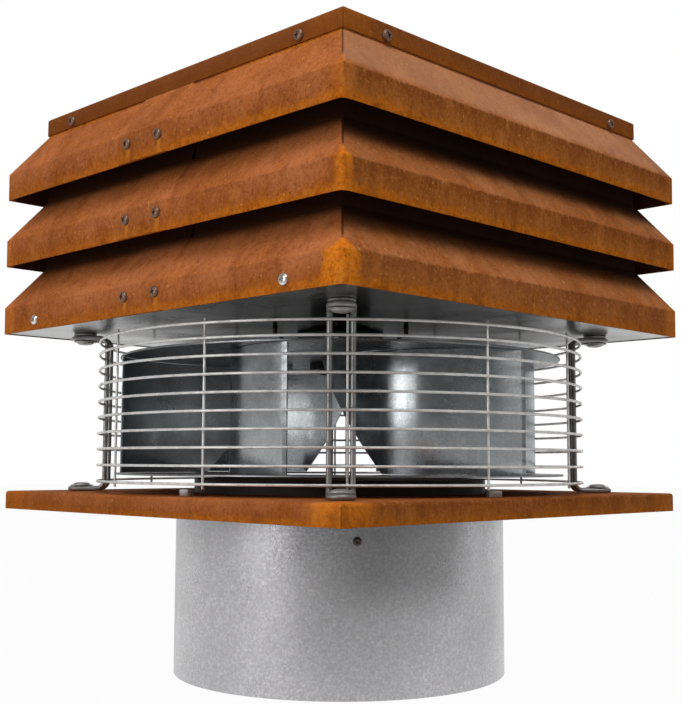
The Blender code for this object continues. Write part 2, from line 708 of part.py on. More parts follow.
def make_rotor():
    axis = bpy.data.objects.new("rotor_axis", None)
    bpy.context.scene.collection.objects.link(axis)
    axis.location = (0.0, 0.0, ROTOR_DISC_UNDER * MM)
    bpy.context.view_layer.update()
    bore = SHAFT_RADIUS + GAP
    down = (0.0, 0.0, -1.0)

    disc = add_object("rotor_disc", turned(tube_outline(bore, ROTOR_DISC_RADIUS, 0.0, ROTOR_SHEET), 48),
                      "galvanised", height=ROTOR_DISC_UNDER, parent=axis)
    bore_holes(disc, hub_screw_places(ROTOR_DISC_UNDER, down), SCREW_RADIUS + GAP, 3.0 * ROTOR_SHEET)
    add_object("rotor_inlet_ring", turned(tube_outline(ROTOR_EYE, ROTOR_RADIUS, 0.0, ROTOR_SHEET), 48),
               "galvanised", height=ROTOR_RING_UNDER, parent=axis)
    low = ROTOR_RING_UNDER + ROTOR_SHEET + GAP
    high = ROTOR_DISC_UNDER - GAP
    for k in range(BLADE_COUNT):
        add_object("rotor_blade_%d" % (k + 1), blade_mesh(0.0, high - low), "galvanised", height=low,
                   turn=BLADE_REST_TURN + 360.0 * k / BLADE_COUNT, parent=axis)

    hub = add_object("rotor_hub", turned(tube_outline(bore, HUB_RADIUS, 0.0, HUB_HEIGHT), 20),
                     "black_steel", height=HUB_SEAT, parent=axis)
    fuse_screws(hub, hub_screw_places(ROTOR_DISC_UNDER - HUB_CLAMP - 2.0 * GAP, down),
                length=HUB_CLAMP + ROTOR_SHEET + HUB_SCREW_BITE)
    under_disc = facing(down, (0.0, 0.0, ROTOR_DISC_UNDER))
    corner = NUT_M12_ACROSS / math.sqrt(3.0)
    floor = GAP + HUB_CLAMP_FLOOR
    pocket = corner + HUB_POCKET_ROOM
    clamp = [
        (bore, GAP), (HUB_RADIUS, GAP), (HUB_RADIUS, GAP + HUB_CLAMP),
        (pocket, GAP + HUB_CLAMP), (pocket, floor), (bore, floor),
    ]
    clamp = add_object("hub_clamp", turned(clamp, 20, place=under_disc), "black_steel")
    bore_holes(clamp, hub_screw_places(ROTOR_DISC_UNDER, down), SCREW_RADIUS + GAP, 2.0 * HUB_CLAMP)
    seat = floor + GAP
    nut = [(bore, seat), (corner, seat, "hex"), (corner, seat + NUT_M12, "hex"), (bore, seat + NUT_M12)]
    add_object("hub_nut", turned(nut, 12, place=under_disc), "bright_screw")
    shaft = [
        (0.0, 0.0), (SHAFT_RADIUS - 1.0, 0.0), (SHAFT_RADIUS, 1.0),
        (SHAFT_RADIUS, MOTOR_TOP - SHAFT_FOOT), (0.0, MOTOR_TOP - SHAFT_FOOT),
    ]
    add_object("motor_shaft", turned(shaft, 12), "ground_steel", height=SHAFT_FOOT, parent=axis)


# Motor
def motor_bolt_places(height, direction):
    return ring_places(4, MOTOR_BOLT_CIRCLE, height, 0.0, direction)


def make_motor():
    bore = SHAFT_RADIUS + 2.0
    pocket = BEARING_RADIUS + GAP
    deep = BEARING_WIDTH + GAP
    flange = MOTOR_SEAT + MOTOR_FLANGE
    outline = [
        (pocket, BOSS_UNDER), (MOTOR_BOSS_RADIUS, BOSS_UNDER), (MOTOR_BOSS_RADIUS, MOTOR_SEAT),
        (MOTOR_FLANGE_RADIUS, MOTOR_SEAT), (MOTOR_FLANGE_RADIUS, flange), (MOTOR_RADIUS, flange),
    ]
    outline += [
        (MOTOR_RADIUS, MOTOR_TOP), (pocket, MOTOR_TOP), (pocket, MOTOR_TOP - deep), (bore, MOTOR_TOP - deep),
        (bore, BOSS_UNDER + deep), (pocket, BOSS_UNDER + deep),
    ]
    casing = add_object("motor_casing", turned(outline, 20), "motor_paint")
    up = (0.0, 0.0, 1.0)
    bore_holes(casing, motor_bolt_places(MOTOR_SEAT, up), MOTOR_BOLT_RADIUS + GAP, 3.0 * MOTOR_FLANGE)

    ring = tube_outline(SHAFT_RADIUS + GAP, BEARING_RADIUS, 0.0, BEARING_WIDTH)
    add_object("motor_bearing_lower", turned(ring, 12), "ground_steel", height=BOSS_UNDER)
    add_object("motor_bearing_upper", turned(ring, 12), "ground_steel", height=MOTOR_TOP - BEARING_WIDTH)
    cover = [
        (0.0, GAP), (MOTOR_RADIUS, GAP), (MOTOR_RADIUS, MOTOR_COVER * 0.5),
        (MOTOR_RADIUS * 0.8, MOTOR_COVER), (0.0, MOTOR_COVER),
    ]
    add_object("motor_end_cover", turned(cover, 20), "motor_paint", height=MOTOR_TOP)

    outline = hex_bolt_outline(SHEET + MOTOR_FLANGE + 2.0 * GAP, MOTOR_BOLT_RADIUS, NUT_M6_ACROSS, NUT_M6, NUT_M6)
    places = motor_bolt_places(PLATE_UNDER, (0.0, 0.0, -1.0))
    bolts("motor_bolt", ("right", "back", "left", "front"), "rusty_screw", places, outline, 6)


def box_section(x0, x1, y0, y1, z):
    return [(x0, y0, z), (x1, y0, z), (x1, y1, z), (x0, y1, z)]


def make_terminal_box():
    """A box beside the motor on the underplate, with its lid and a gland for the supply lead."""
    depth, width, height = BOX_SIZE
    near = MOTOR_FLANGE_RADIUS + 8.0
    far = near + depth
    half = width / 2.0
    floor = PLATE_TOP + GAP
    rim = floor + height
    wall = BOX_WALL
    outer = [box_section(near, far, -half, half, z) for z in (floor, rim)]
    inner = [
        box_section(near + wall, far - wall, -half + wall, half - wall, z) for z in (rim, floor + wall)
    ]
    bm = bmesh.new()
    join_sections(bm, outer + inner, closed=False)
    box = add_object("terminal_box", bm, "plastic", turn=45.0)
    middle = (near + far) / 2.0
    mouth = Matrix.Rotation(math.radians(45.0), 4, "Z") @ facing((0.0, 1.0, 0.0), (middle, half, floor + height / 2.0))
    bore_holes(box, [mouth], GLAND_RADIUS * 0.6 + GAP, 2.0 * wall, sides=16)

    bm = bmesh.new()
    join_sections(bm, [box_section(near, far, -half, half, z) for z in (rim + GAP, rim + GAP + BOX_LID)], closed=False)
    add_object("terminal_box_lid", bm, "plastic", turn=45.0)
    neck = GLAND_RADIUS * 0.6
    cable = GLAND_RADIUS * 0.4
    gland = [
        (cable, -wall - 2.0), (neck, -wall - 2.0), (neck, GAP), (GLAND_RADIUS, GAP),
        (GLAND_RADIUS, GLAND_LENGTH * 0.6), (GLAND_RADIUS * 0.7, GLAND_LENGTH), (cable, GLAND_LENGTH),
    ]
    add_object("cable_gland", turned(gland, 10, place=mouth), "plastic")


def main():
    clear_scene()
    make_pipe()
    make_collar()
    make_base_plate()
    make_side_bolts()
    make_hood()
    make_posts()
    make_underplate()
    make_guard()
    make_rod_loops()
    make_loop_fixings()
    make_rotor()
    make_motor()
    make_terminal_box()


main()
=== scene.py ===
"""Looks of the chimney draught fan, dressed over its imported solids.

The hood, base plate and lid are rusted weathering steel sheet; the pipe, rotor
and underplate are galvanised sheet; the guard and its rods are dull zinc wire.
Lengths are in millimetres and become metres where a mesh or a material takes
them. Only the floor, the lamps and the camera are placed in metres.
Object Z is the height above the pipe's lower end, so patterns that follow a rim
read it directly. The front corner of the fan, towards the camera, is at +X -Y.
"""
import math

import bmesh
import bpy
from mathutils import Matrix, Vector


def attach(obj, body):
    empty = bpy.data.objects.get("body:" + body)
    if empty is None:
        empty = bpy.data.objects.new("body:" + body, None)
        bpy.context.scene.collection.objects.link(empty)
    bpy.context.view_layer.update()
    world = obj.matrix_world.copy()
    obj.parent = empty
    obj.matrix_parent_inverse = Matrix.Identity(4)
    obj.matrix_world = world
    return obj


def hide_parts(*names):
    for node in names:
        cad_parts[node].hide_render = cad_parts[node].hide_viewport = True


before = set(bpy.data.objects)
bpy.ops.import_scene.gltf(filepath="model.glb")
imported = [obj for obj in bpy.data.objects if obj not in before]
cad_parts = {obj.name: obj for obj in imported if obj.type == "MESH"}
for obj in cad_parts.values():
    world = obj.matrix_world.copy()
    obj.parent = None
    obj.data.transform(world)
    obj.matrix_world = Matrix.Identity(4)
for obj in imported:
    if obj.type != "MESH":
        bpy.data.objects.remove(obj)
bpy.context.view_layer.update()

MM = 0.001
TURN = 2.0 * math.pi

# Levels and widths of the solids that the pieces stand for
SHEET = 1.2
GAP = 0.3
PIPE_RADIUS = 136.5
PIPE_WALL = 1.5
BASE_HALF = 200.0
BASE_FLOOR = 130.7
BASE_TOP = 145.5
COLLAR_RADIUS = 122.0
COLLAR_WALL = 2.0
COLLAR_TOP = 157.0
HOOD_FLOOR = 278.2
TIER_PITCH = 58.2
TIER_HALF = 203.9
TIER_RIM = 22.4
TIER_RISE = 34.0
UPSTAND_HALF = 179.7
UPSTAND = 12.8
LID_HALF = 181.2
LID_FLOOR = 451.6
LID_TOP = 466.3
PLATE_UNDER = 278.7
RING_RADIUS = 201.0
RING_WIRE = 2.1
UPRIGHT_WIRE = 2.0
UPRIGHT_COUNT = 12
UPRIGHT_TURN = -43.75
ROD = 4.0
ROTOR_RING_UNDER = 159.8
ROTOR_DISC_UNDER = 254.7
ROTOR_SHEET = 1.5
SPACER = 1.6
ROTOR_DISC_RADIUS = 184.5
ROTOR_DISC_BORE = 7.8
ROTOR_RING_RADIUS = 186.0
ROTOR_EYE_RADIUS = 118.0
LOOP_BOLT_CIRCLE = 218.0
MOTOR_BOLT_CIRCLE = 75.0
SIDE_BOLT_IN = 22.5
SIDE_BOLT_OFF = 20.0

# Distances at which a vertex lies on the axis, and two vertices are one, in metres
ON_AXIS = 1e-9
SAME_PLACE = 1e-6


# Modelling helpers
def only(piece):
    """Select one piece and nothing else."""
    bpy.ops.object.select_all(action="DESELECT")
    bpy.context.view_layer.objects.active = piece
    piece.select_set(True)


def added(name, primitive, **settings):
    """Add a primitive with nothing else selected, and name it."""
    bpy.ops.object.select_all(action="DESELECT")
    primitive(**settings)
    piece = bpy.context.object
    piece.name = piece.data.name = name
    return piece


def edit(piece):
    only(piece)
    bpy.ops.object.mode_set(mode="EDIT")
    return bmesh.from_edit_mesh(piece.data)


def done():
    bpy.ops.object.mode_set(mode="OBJECT")


def removed(piece):
    bpy.data.objects.remove(piece, do_unlink=True)


def apply_modifier(piece, kind, **settings):
    only(piece)
    modifier = piece.modifiers.new(kind.title(), kind)
    for key, value in settings.items():
        setattr(modifier, key, value)
    bpy.ops.object.modifier_apply(modifier=modifier.name)


def bevelled(piece, width, segments, angle):
    """Bevel the edges that turn by more than an angle, in degrees."""
    apply_modifier(piece, "BEVEL", width=width * MM, segments=segments, limit_method="ANGLE",
                   angle_limit=math.radians(angle))


def thickened(sheet, thickness, offset=-1.0):
    """Give an open sheet its thickness, inwards or to both sides."""
    apply_modifier(sheet, "SOLIDIFY", thickness=thickness * MM, offset=offset,
                   use_even_offset=True)


def cut(piece, tool, operation="DIFFERENCE"):
    """Cut a piece with a tool and remove the tool."""
    apply_modifier(piece, "BOOLEAN", operation=operation, solver="EXACT", object=tool)
    removed(tool)


def smooth(piece, angle=32.0):
    only(piece)
    bpy.ops.object.shade_smooth_by_angle(angle=math.radians(angle))


def flipped(piece):
    edit(piece)
    bpy.ops.mesh.select_all(action="SELECT")
    bpy.ops.mesh.flip_normals()
    done()


def face_out(piece):
    """Merge what coincides and turn every face outwards."""
    edit(piece)
    bpy.ops.mesh.select_all(action="SELECT")
    bpy.ops.mesh.remove_doubles(threshold=SAME_PLACE)
    bpy.ops.mesh.delete_loose()
    bpy.ops.mesh.select_all(action="SELECT")
    bpy.ops.mesh.normals_make_consistent(inside=False)
    done()


def closed_line(name, points):
    """A closed line of points, in millimetres."""
    piece = added(name, bpy.ops.mesh.primitive_circle_add, vertices=len(points), radius=1.0)
    for vertex, point in zip(piece.data.vertices, points):
        vertex.co = Vector(point) * MM
    return piece


def turned(name, outline, steps):
    """Spin a closed outline of (radius, height) about Z."""
    piece = closed_line(name, [(radius, 0.0, height) for radius, height in outline])
    mesh = edit(piece)
    bpy.ops.mesh.select_all(action="DESELECT")
    on_axis = [e for e in mesh.edges if max(abs(v.co.x) for v in e.verts) < ON_AXIS]
    for line in on_axis:
        line.select_set(True)
    bmesh.update_edit_mesh(piece.data)
    if on_axis:
        bpy.ops.mesh.delete(type="EDGE_FACE")
    bpy.ops.mesh.select_all(action="SELECT")
    bpy.ops.mesh.spin(steps=steps, angle=TURN, center=(0, 0, 0), axis=(0, 0, 1))
    done()
    face_out(piece)
    return piece


def flat_ring(name, bore, radius, low, high, edge, steps):
    """A flat ring with its outer edges taken off."""
    outline = [
        (bore, low), (radius - edge, low), (radius, low + edge),
        (radius, high - edge), (radius - edge, high), (bore, high),
    ]
    return turned(name, outline, steps)


def drawn_sheet(name, rows):
    """Draw an open line of points and extrude it from row to row into a sheet.

    An attribute numbers the line's points, and each extruded point keeps its number.
    A line of two points starts as a circle of three, and its spare point is deleted;
    a longer one starts as a closed line, and the edge that closes it is deleted.
    """
    count = len(rows[0])
    spare = [rows[0][0]] * max(0, 3 - count)
    piece = closed_line(name, list(rows[0]) + spare)
    numbers = piece.data.attributes.new("number", "INT", "POINT")
    for i, entry in enumerate(numbers.data):
        entry.value = i
    edit(piece)
    bpy.ops.mesh.select_all(action="DESELECT")
    bpy.ops.mesh.select_mode(type="VERT" if spare else "EDGE")
    mesh = bmesh.from_edit_mesh(piece.data)
    mesh.verts.ensure_lookup_table()
    if spare:
        mesh.verts[count].select_set(True)
    for line in mesh.edges:
        if not spare and {v.index for v in line.verts} == {0, count - 1}:
            line.select_set(True)
    bmesh.update_edit_mesh(piece.data)
    bpy.ops.mesh.delete(type="VERT" if spare else "EDGE")
    bpy.ops.mesh.select_mode(type="VERT")
    bpy.ops.mesh.select_all(action="SELECT")
    for row in rows[1:]:
        bpy.ops.mesh.extrude_region()
        mesh = bmesh.from_edit_mesh(piece.data)
        layer = mesh.verts.layers.int["number"]
        for vertex in mesh.verts:
            if vertex.select:
                vertex.co = Vector(row[vertex[layer]]) * MM
        bmesh.update_edit_mesh(piece.data)
    done()
    piece.data.attributes.remove(piece.data.attributes["number"])
    return piece


def place_copy(piece, name, place):
    """A copy with a mesh of its own, its place put into the mesh."""
    copy = piece.copy()
    copy.data = piece.data.copy()
    copy.name = copy.data.name = name
    bpy.context.scene.collection.objects.link(copy)
    copy.data.transform(place)
    return copy


def joined(name, parts):
    bpy.ops.object.select_all(action="DESELECT")
    for part in parts:
        part.select_set(True)
    bpy.context.view_layer.objects.active = parts[0]
    bpy.ops.object.join()
    piece = bpy.context.object
    piece.name = piece.data.name = name
    return piece


def along(direction, point):
    """Place something drawn along +Z at a point in millimetres, looking along a direction."""
    turn = Vector((0.0, 0.0, 1.0)).rotation_difference(Vector(direction))
    return Matrix.Translation(Vector(point) * MM) @ turn.to_matrix().to_4x4()


def about_z(degrees):
    return Matrix.Rotation(math.radians(degrees), 4, "Z")


# Shader helpers
def colour(red, green, blue):
    return (red, green, blue, 1.0)


def grey(level):
    return colour(level, level, level)


class Tree:
    """Short calls for laying nodes in a material or a group."""

    def __init__(self, tree):
        self.tree = tree

    def link(self, source, target):
        """Link a socket to a target, or set a plain value on it."""
        if isinstance(source, bpy.types.NodeSocket):
            self.tree.links.new(source, target)
        else:
            target.default_value = source

    def node(self, kind, inputs=(), **settings):
        node = self.tree.nodes.new(kind)
        for key, value in settings.items():
            setattr(node, key, value)
        for key, value in dict(inputs).items():
            self.link(value, node.inputs[key])
        return node

    def noise(self, vector, scale, detail, rough, distort=0.0):
        node = self.node("ShaderNodeTexNoise", {
            "Vector": vector, "Scale": scale, "Detail": detail, "Roughness": rough,
            "Distortion": distort})
        return node.outputs["Fac"]

    def ramp(self, value, low, high, out_low=0.0, out_high=1.0):
        node = self.node("ShaderNodeMapRange", {
            "Value": value, "From Min": low, "From Max": high,
            "To Min": out_low, "To Max": out_high}, interpolation_type="SMOOTHSTEP")
        return node.outputs["Result"]

    def math(self, operation, a, b=0.0):
        return self.node("ShaderNodeMath", {0: a, 1: b}, operation=operation).outputs[0]

    def plus(self, a, b):
        return self.math("ADD", a, b)

    def minus(self, a, b):
        return self.math("SUBTRACT", a, b)

    def times(self, a, b):
        return self.math("MULTIPLY", a, b)

    def larger(self, a, b):
        return self.math("MAXIMUM", a, b)

    def mix(self, factor, a, b):
        node = self.node("ShaderNodeMix", data_type="RGBA")
        self.link(factor, node.inputs["Factor"])
        self.link(a, node.inputs["A"])
        self.link(b, node.inputs["B"])
        return node.outputs["Result"]

    def dot(self, vector, direction):
        node = self.node("ShaderNodeVectorMath", {0: vector, 1: direction},
                         operation="DOT_PRODUCT")
        return node.outputs["Value"]

    def scaled(self, vector, size):
        return self.node("ShaderNodeMapping", {"Vector": vector, "Scale": size}).outputs["Vector"]

    def split(self, vector):
        return self.node("ShaderNodeSeparateXYZ", {"Vector": vector}).outputs

    def bump(self, height, strength, distance, normal=None):
        node = self.node("ShaderNodeBump", {
            "Height": height, "Strength": strength, "Distance": distance})
        if normal:
            self.link(normal, node.inputs["Normal"])
        return node.outputs["Normal"]


def new_group(name, inputs, outputs):
    """A node group with inputs of (label, kind, value) and outputs of (label, kind)."""
    group = bpy.data.node_groups.new(name, "ShaderNodeTree")
    for label, kind, value in inputs:
        socket = group.interface.new_socket(
            name=label, in_out="INPUT", socket_type="NodeSocket" + kind)
        if value is not None:
            socket.default_value = value
    for label, kind in outputs:
        group.interface.new_socket(
            name=label, in_out="OUTPUT", socket_type="NodeSocket" + kind)
    tree = Tree(group)
    given = tree.node("NodeGroupInput").outputs
    gives = tree.node("NodeGroupOutput").inputs
    return group, tree, given, gives


# Base colours of the patina, with a painted shade and a painted sheen
RUST = {
    "tan left": colour(0.50, 0.160, 0.055),
    "tan right": colour(0.53, 0.212, 0.088),
    "deep left": colour(0.37, 0.108, 0.028),
    "deep right": colour(0.35, 0.112, 0.036),
    "patch": colour(0.44, 0.120, 0.020),
    "low dark": colour(0.36, 0.084, 0.010),
    "low pale": colour(0.44, 0.124, 0.018),
    "band dark": colour(0.225, 0.060, 0.010),
    "band pale": colour(0.43, 0.128, 0.020),
    "band streak": colour(0.47, 0.150, 0.030),
    "edge dark": colour(0.52, 0.125, 0.005),
    "edge pale": colour(0.74, 0.220, 0.013),
    "bloom dark": colour(0.66, 0.160, 0.006),
    "bloom pale": colour(0.95, 0.290, 0.016),
    "mottle": colour(0.22, 0.054, 0.012),
    "grain pale": colour(0.64, 0.25, 0.075),
    "grain dark": colour(0.14, 0.038, 0.010),
    "speck": colour(0.80, 0.42, 0.11),
    "blotch dark": colour(0.21, 0.054, 0.010),
    "blotch pale": colour(0.66, 0.235, 0.060),
    "tone": colour(0.17, 0.050, 0.012),
    # painted shade, nearly black, under the tier above and on the inner face
    "painted_shade": colour(0.022, 0.009, 0.005),
    "line": colour(0.05, 0.016, 0.008),
    "drip": colour(0.80, 0.27, 0.03),
    # painted sheen on the top tier's right slope
    "painted sheen": colour(0.60, 0.33, 0.20),
}


def make_rust_group():
    """Patina of weathering steel: tan brown ground, darker below folds, orange edges and corners.

    Height is 0 at a rim's lower edge and 1 at its fold; Right is 1 on the sides that are darker
    below the fold; Corner is the distance from the nearest corner over the width of its bloom.
    Edge, Bloom and Crest say how orange the lower edge, the corners and the top of a slope are.
    Tone darkens evenly, Line is the dark line where two sides meet, and the painted shade, nearly
    black, is 1 where the tier above shades the slope and on the inner face of the sheet.
    """
    group, tree, given, gives = new_group(
        "steel_patina",
        [("Vector", "Vector", None), ("Height", "Float", 2.0), ("Right", "Float", 0.0),
         ("Corner", "Float", 9.0), ("Edge", "Float", 0.0), ("Bloom", "Float", 0.0),
         ("Line", "Float", 0.0), ("Tone", "Float", 0.0), ("Painted_shade", "Float", 0.0),
         ("Crest", "Float", 0.0)],
        [("Color", "Color"), ("Height", "Float"), ("Roughness", "Float")],
    )
    vector, height, right = given["Vector"], given["Height"], given["Right"]
    cloud = tree.noise(vector, 13.0, 4.0, 0.6)
    patch = tree.noise(vector, 62.0, 5.0, 0.65, 0.4)
    mottle = tree.noise(vector, 190.0, 4.0, 0.7)
    fine = tree.noise(vector, 430.0, 3.0, 0.8)
    speck = tree.noise(vector, 300.0, 1.0, 0.5)
    streak = tree.noise(tree.scaled(vector, (380.0, 380.0, 75.0)), 1.0, 4.0, 0.7)
    run = tree.noise(tree.scaled(vector, (90.0, 90.0, 12.0)), 1.0, 3.0, 0.6)
    blotch = tree.noise(tree.scaled(vector, (44.0, 44.0, 24.0)), 1.0, 5.0, 0.68, 0.3)

    def uneven(value, noise, strength):
        """Shift a value up and down by a noise round its middle."""
        return tree.plus(value, tree.times(tree.minus(noise, 0.5), strength))

    def ragged(value, by_streak, by_run):
        return uneven(uneven(value, streak, by_streak), run, by_run)

    tan = tree.mix(right, RUST["tan left"], RUST["tan right"])
    deep = tree.mix(right, RUST["deep left"], RUST["deep right"])
    ground = tree.mix(tree.ramp(cloud, 0.34, 0.66), deep, tan)
    ground = tree.mix(tree.ramp(patch, 0.46, 0.7, 0.0, 0.55), ground, RUST["patch"])

    # Left rims redden downwards, and right rims are dark right below the fold
    low = tree.times(tree.ramp(ragged(height, 0.9, 0.9), 0.85, 0.1), tree.minus(1.0, right))
    red = tree.mix(tree.ramp(streak, 0.4, 0.66), RUST["low dark"], RUST["low pale"])
    ground = tree.mix(tree.times(low, 0.75), ground, red)
    band = tree.times(tree.ramp(ragged(height, 0.26, 0.22), 1.07, 0.95), right)
    fade = tree.ramp(ragged(height, 0.5, 0.9), 0.95, 0.25)
    shade = tree.mix(fade, RUST["band dark"], RUST["band pale"])
    shade = tree.mix(tree.ramp(streak, 0.42, 0.72, 0.0, 0.55), shade, RUST["band streak"])
    ground = tree.mix(tree.times(band, 0.92), ground, shade)

    # Orange along the lower edge
    grain = tree.ramp(mottle, 0.36, 0.66)
    edge = tree.times(tree.ramp(ragged(height, 0.34, 0.45), 0.40, 0.08), given["Edge"])
    edge = tree.times(edge, tree.ramp(patch, 0.3, 0.55, 0.65, 1.0))
    ground = tree.mix(edge, ground, tree.mix(grain, RUST["edge dark"], RUST["edge pale"]))

    # Brighter blooms at the corners, narrower above the fold, and along the top of a slope
    above = tree.times(tree.larger(tree.minus(height, 0.95), 0.0), 2.4)
    reach = uneven(ragged(tree.plus(given["Corner"], above), 0.7, 1.1), mottle, 0.9)
    bloom = tree.times(tree.ramp(reach, 1.2, 0.6), given["Bloom"])
    bright = tree.mix(grain, RUST["bloom dark"], RUST["bloom pale"])
    ground = tree.mix(bloom, ground, bright)
    crest = tree.times(given["Crest"], tree.ramp(run, 0.3, 0.55, 0.4, 1.0))
    ground = tree.mix(crest, ground, bright)

    # Fine and coarse marks: a noise, where it sets in and is full, its strength and colour
    for noise, start, full, strength, name in (
            (mottle, 0.52, 0.72, 0.40, "mottle"), (fine, 0.52, 0.70, 0.42, "grain pale"),
            (fine, 0.48, 0.30, 0.62, "grain dark"), (speck, 0.70, 0.78, 0.5, "speck"),
            (blotch, 0.50, 0.68, 0.45, "blotch dark"), (blotch, 0.47, 0.32, 0.32, "blotch pale")):
        ground = tree.mix(tree.ramp(noise, start, full, 0.0, strength), ground, RUST[name])
    # Even tone, painted shade under the tier above and on the inner face, and the dark corner line
    for label in ("Tone", "Painted_shade", "Line"):
        ground = tree.mix(given[label], ground, RUST[label.lower()])
    tree.link(ground, gives["Color"])
    tree.link(tree.plus(tree.times(fine, 0.6), tree.times(mottle, 0.4)), gives["Height"])
    tree.link(tree.ramp(patch, 0.3, 0.7, 0.66, 0.86), gives["Roughness"])
    return group


def make_zinc_group():
    """Galvanised sheet: pale cloudy spangle, dull and bright grains, soft marks."""
    group, tree, given, gives = new_group(
        "zinc_sheet",
        [("Vector", "Vector", None), ("Dark", "Color", colour(0.4, 0.42, 0.44)),
         ("Pale", "Color", colour(0.62, 0.64, 0.65)), ("Grain", "Float", 260.0),
         ("Spangle", "Float", 0.2)],
        [("Color", "Color"), ("Height", "Float"), ("Roughness", "Float")],
    )
    vector = given["Vector"]
    cells = tree.node("ShaderNodeTexVoronoi", {"Vector": vector, "Scale": given["Grain"]},
                      feature="F1")
    tone = tree.split(cells.outputs["Color"])[0]
    cloud = tree.noise(vector, 14.0, 5.0, 0.6)
    fine = tree.noise(vector, 480.0, 3.0, 0.8)
    mixed = tree.plus(tree.times(tone, given["Spangle"]), tree.times(fine, 0.7))
    base = tree.mix(tree.ramp(mixed, 0.28, 0.62), given["Dark"], given["Pale"])
    base = tree.mix(tree.ramp(cloud, 0.35, 0.7, 0.0, 0.25), base, given["Dark"])
    rough = tree.plus(tree.ramp(cloud, 0.3, 0.7, 0.26, 0.4), tree.times(tone, 0.03))
    tree.link(base, gives["Color"])
    tree.link(mixed, gives["Height"])
    tree.link(rough, gives["Roughness"])
    return group


def make_wear_group():
    """A mask of fine dirt and wear that small metal pieces share."""
    group, tree, given, gives = new_group(
        "wear", [("Vector", "Vector", None), ("Scale", "Float", 200.0)],
        [("Mask", "Float"), ("Fine", "Float")])
    patch = tree.noise(given["Vector"], given["Scale"], 5.0, 0.65)
    fine = tree.noise(given["Vector"], 1500.0, 3.0, 0.6)
    tree.link(tree.ramp(patch, 0.42, 0.66), gives["Mask"])
    tree.link(fine, gives["Fine"])
    return group


GROUPS = {}


def new_material(name):
    material = bpy.data.materials.new(name)
    material.use_nodes = True
    tree = Tree(material.node_tree)
    shader = material.node_tree.nodes["Principled BSDF"]
    place = tree.node("ShaderNodeTexCoord").outputs["Object"]
    return material, tree, shader, place


def rust_material(name, floor, rim, half, bloom, width, tone=(0.0, 0.0), hip=0.0,
                  painted_shade=0.0, crest=0.0, lee=1.0):
    """Weathering steel of a tier or a tray whose vertical rim starts at a floor level.

    bloom and width are the strength and the reach of the orange at the front corner, tone how
    much darker the left and the right sides are. A tier has a hip, the strength of the dark line
    up its hips; a tray has none. After hip comes the strength of the painted shade, nearly black,
    under the tier above; crest is the orange along the top of a slope, and lee how much the right
    sides differ from the left ones.
    """
    material, tree, shader, place = new_material(name)
    x, y, z = tree.split(place)
    height = tree.math("DIVIDE", tree.minus(z, floor * MM), rim * MM)
    wide = tree.larger(tree.math("ABSOLUTE", x), tree.math("ABSOLUTE", y))
    narrow = tree.math("MINIMUM", tree.math("ABSOLUTE", x), tree.math("ABSOLUTE", y))
    from_corner = tree.minus(wide if hip else half * MM, narrow)

    # The sides to +X and +Y, of which a tray has only the rims
    right = tree.ramp(tree.plus(x, y), -MM, MM)
    if not hip:
        right = tree.times(right, tree.ramp(wide, (half - 20.0) * MM, (half - 3.0) * MM))
    right = tree.times(right, lee)

    # Orange is full on right edges and at the front corner, and weaker towards the back
    front = tree.minus(x, y)
    edge = tree.larger(tree.ramp(front, 0.0, 400.0 * MM, 0.35, 1.0), right)
    blooms = tree.ramp(front, 300.0 * MM, 340.0 * MM, bloom * 0.4, bloom)
    high_up = tree.ramp(height, 2.42, 2.47, 0.0, crest)
    crests = tree.times(high_up, tree.ramp(narrow, 30.0 * MM, 80.0 * MM))

    # A dark line up the hips of a tier, or down the corners of a tray
    if hip:
        line = tree.ramp(from_corner, 1.6 * MM, 0.6 * MM, 0.0, hip)
        line = tree.times(line, tree.ramp(height, 1.25, 1.5))
    else:
        line = tree.ramp(from_corner, 1.3 * MM, 0.8 * MM, 0.0, TRAY_LINE)

    # Painted shade on the inner face of the sheet, except close to a corner,
    # and on what the tier above covers
    slope = tree.times(tree.minus(z, (floor + rim) * MM), (TIER_HALF - UPSTAND_HALF) / TIER_RISE)
    skin = tree.minus(half * MM, tree.larger(slope, 0.0))
    inside = tree.ramp(tree.minus(skin, wide), 0.5 * MM, 0.9 * MM)
    inner_top = (2.5, 2.45) if hip else (0.96, 0.93)
    inside = tree.times(inside, tree.ramp(height, *inner_top))
    inside = tree.times(inside, tree.ramp(from_corner, 4.0 * MM, 7.0 * MM))
    covered = tree.ramp(tree.plus(height, tree.times(right, 0.35)), 1.8, 2.6, 0.0, 0.95)
    painted_shade_mask = tree.larger(tree.times(inside, 0.85), tree.times(covered, painted_shade))

    patina = tree.node("ShaderNodeGroup", {
        "Vector": place, "Height": height, "Right": right, "Edge": edge, "Bloom": blooms,
        "Tone": tree.mix(right, grey(tone[0]), grey(tone[1])),
        "Corner": tree.math("DIVIDE", from_corner, width * MM), "Line": line,
        "Painted_shade": painted_shade_mask, "Crest": crests}, node_tree=GROUPS["rust"])
    finish = patina.outputs["Color"]

    # Drips run down the rim from the lap screws; a painted sheen makes the right slopes paler
    if hip:
        for screw in LAP_SCREWS:
            off = tree.math("ABSOLUTE", tree.minus(x, (screw + DRIP_ASIDE) * MM))
            drip = tree.times(tree.ramp(off, 3.5 * MM, 1.0 * MM), tree.ramp(height, 0.72, 0.56))
            drip = tree.times(drip, tree.ramp(height, 0.0, 0.5, 0.25, 0.75))
            drip = tree.times(drip, tree.ramp(y, -180.0 * MM, -190.0 * MM))
            finish = tree.mix(drip, finish, RUST["drip"])
    if crest:
        pale = tree.times(right, tree.ramp(height, 1.0, 1.3, 0.0, 0.3))
        finish = tree.mix(pale, finish, RUST["painted sheen"])
    tree.link(finish, shader.inputs["Base Color"])
    tree.link(patina.outputs["Roughness"], shader.inputs["Roughness"])
    tree.link(tree.bump(patina.outputs["Height"], 0.3, 0.6 * MM), shader.inputs["Normal"])
    shader.inputs["Specular IOR Level"].default_value = 0.03
    return material


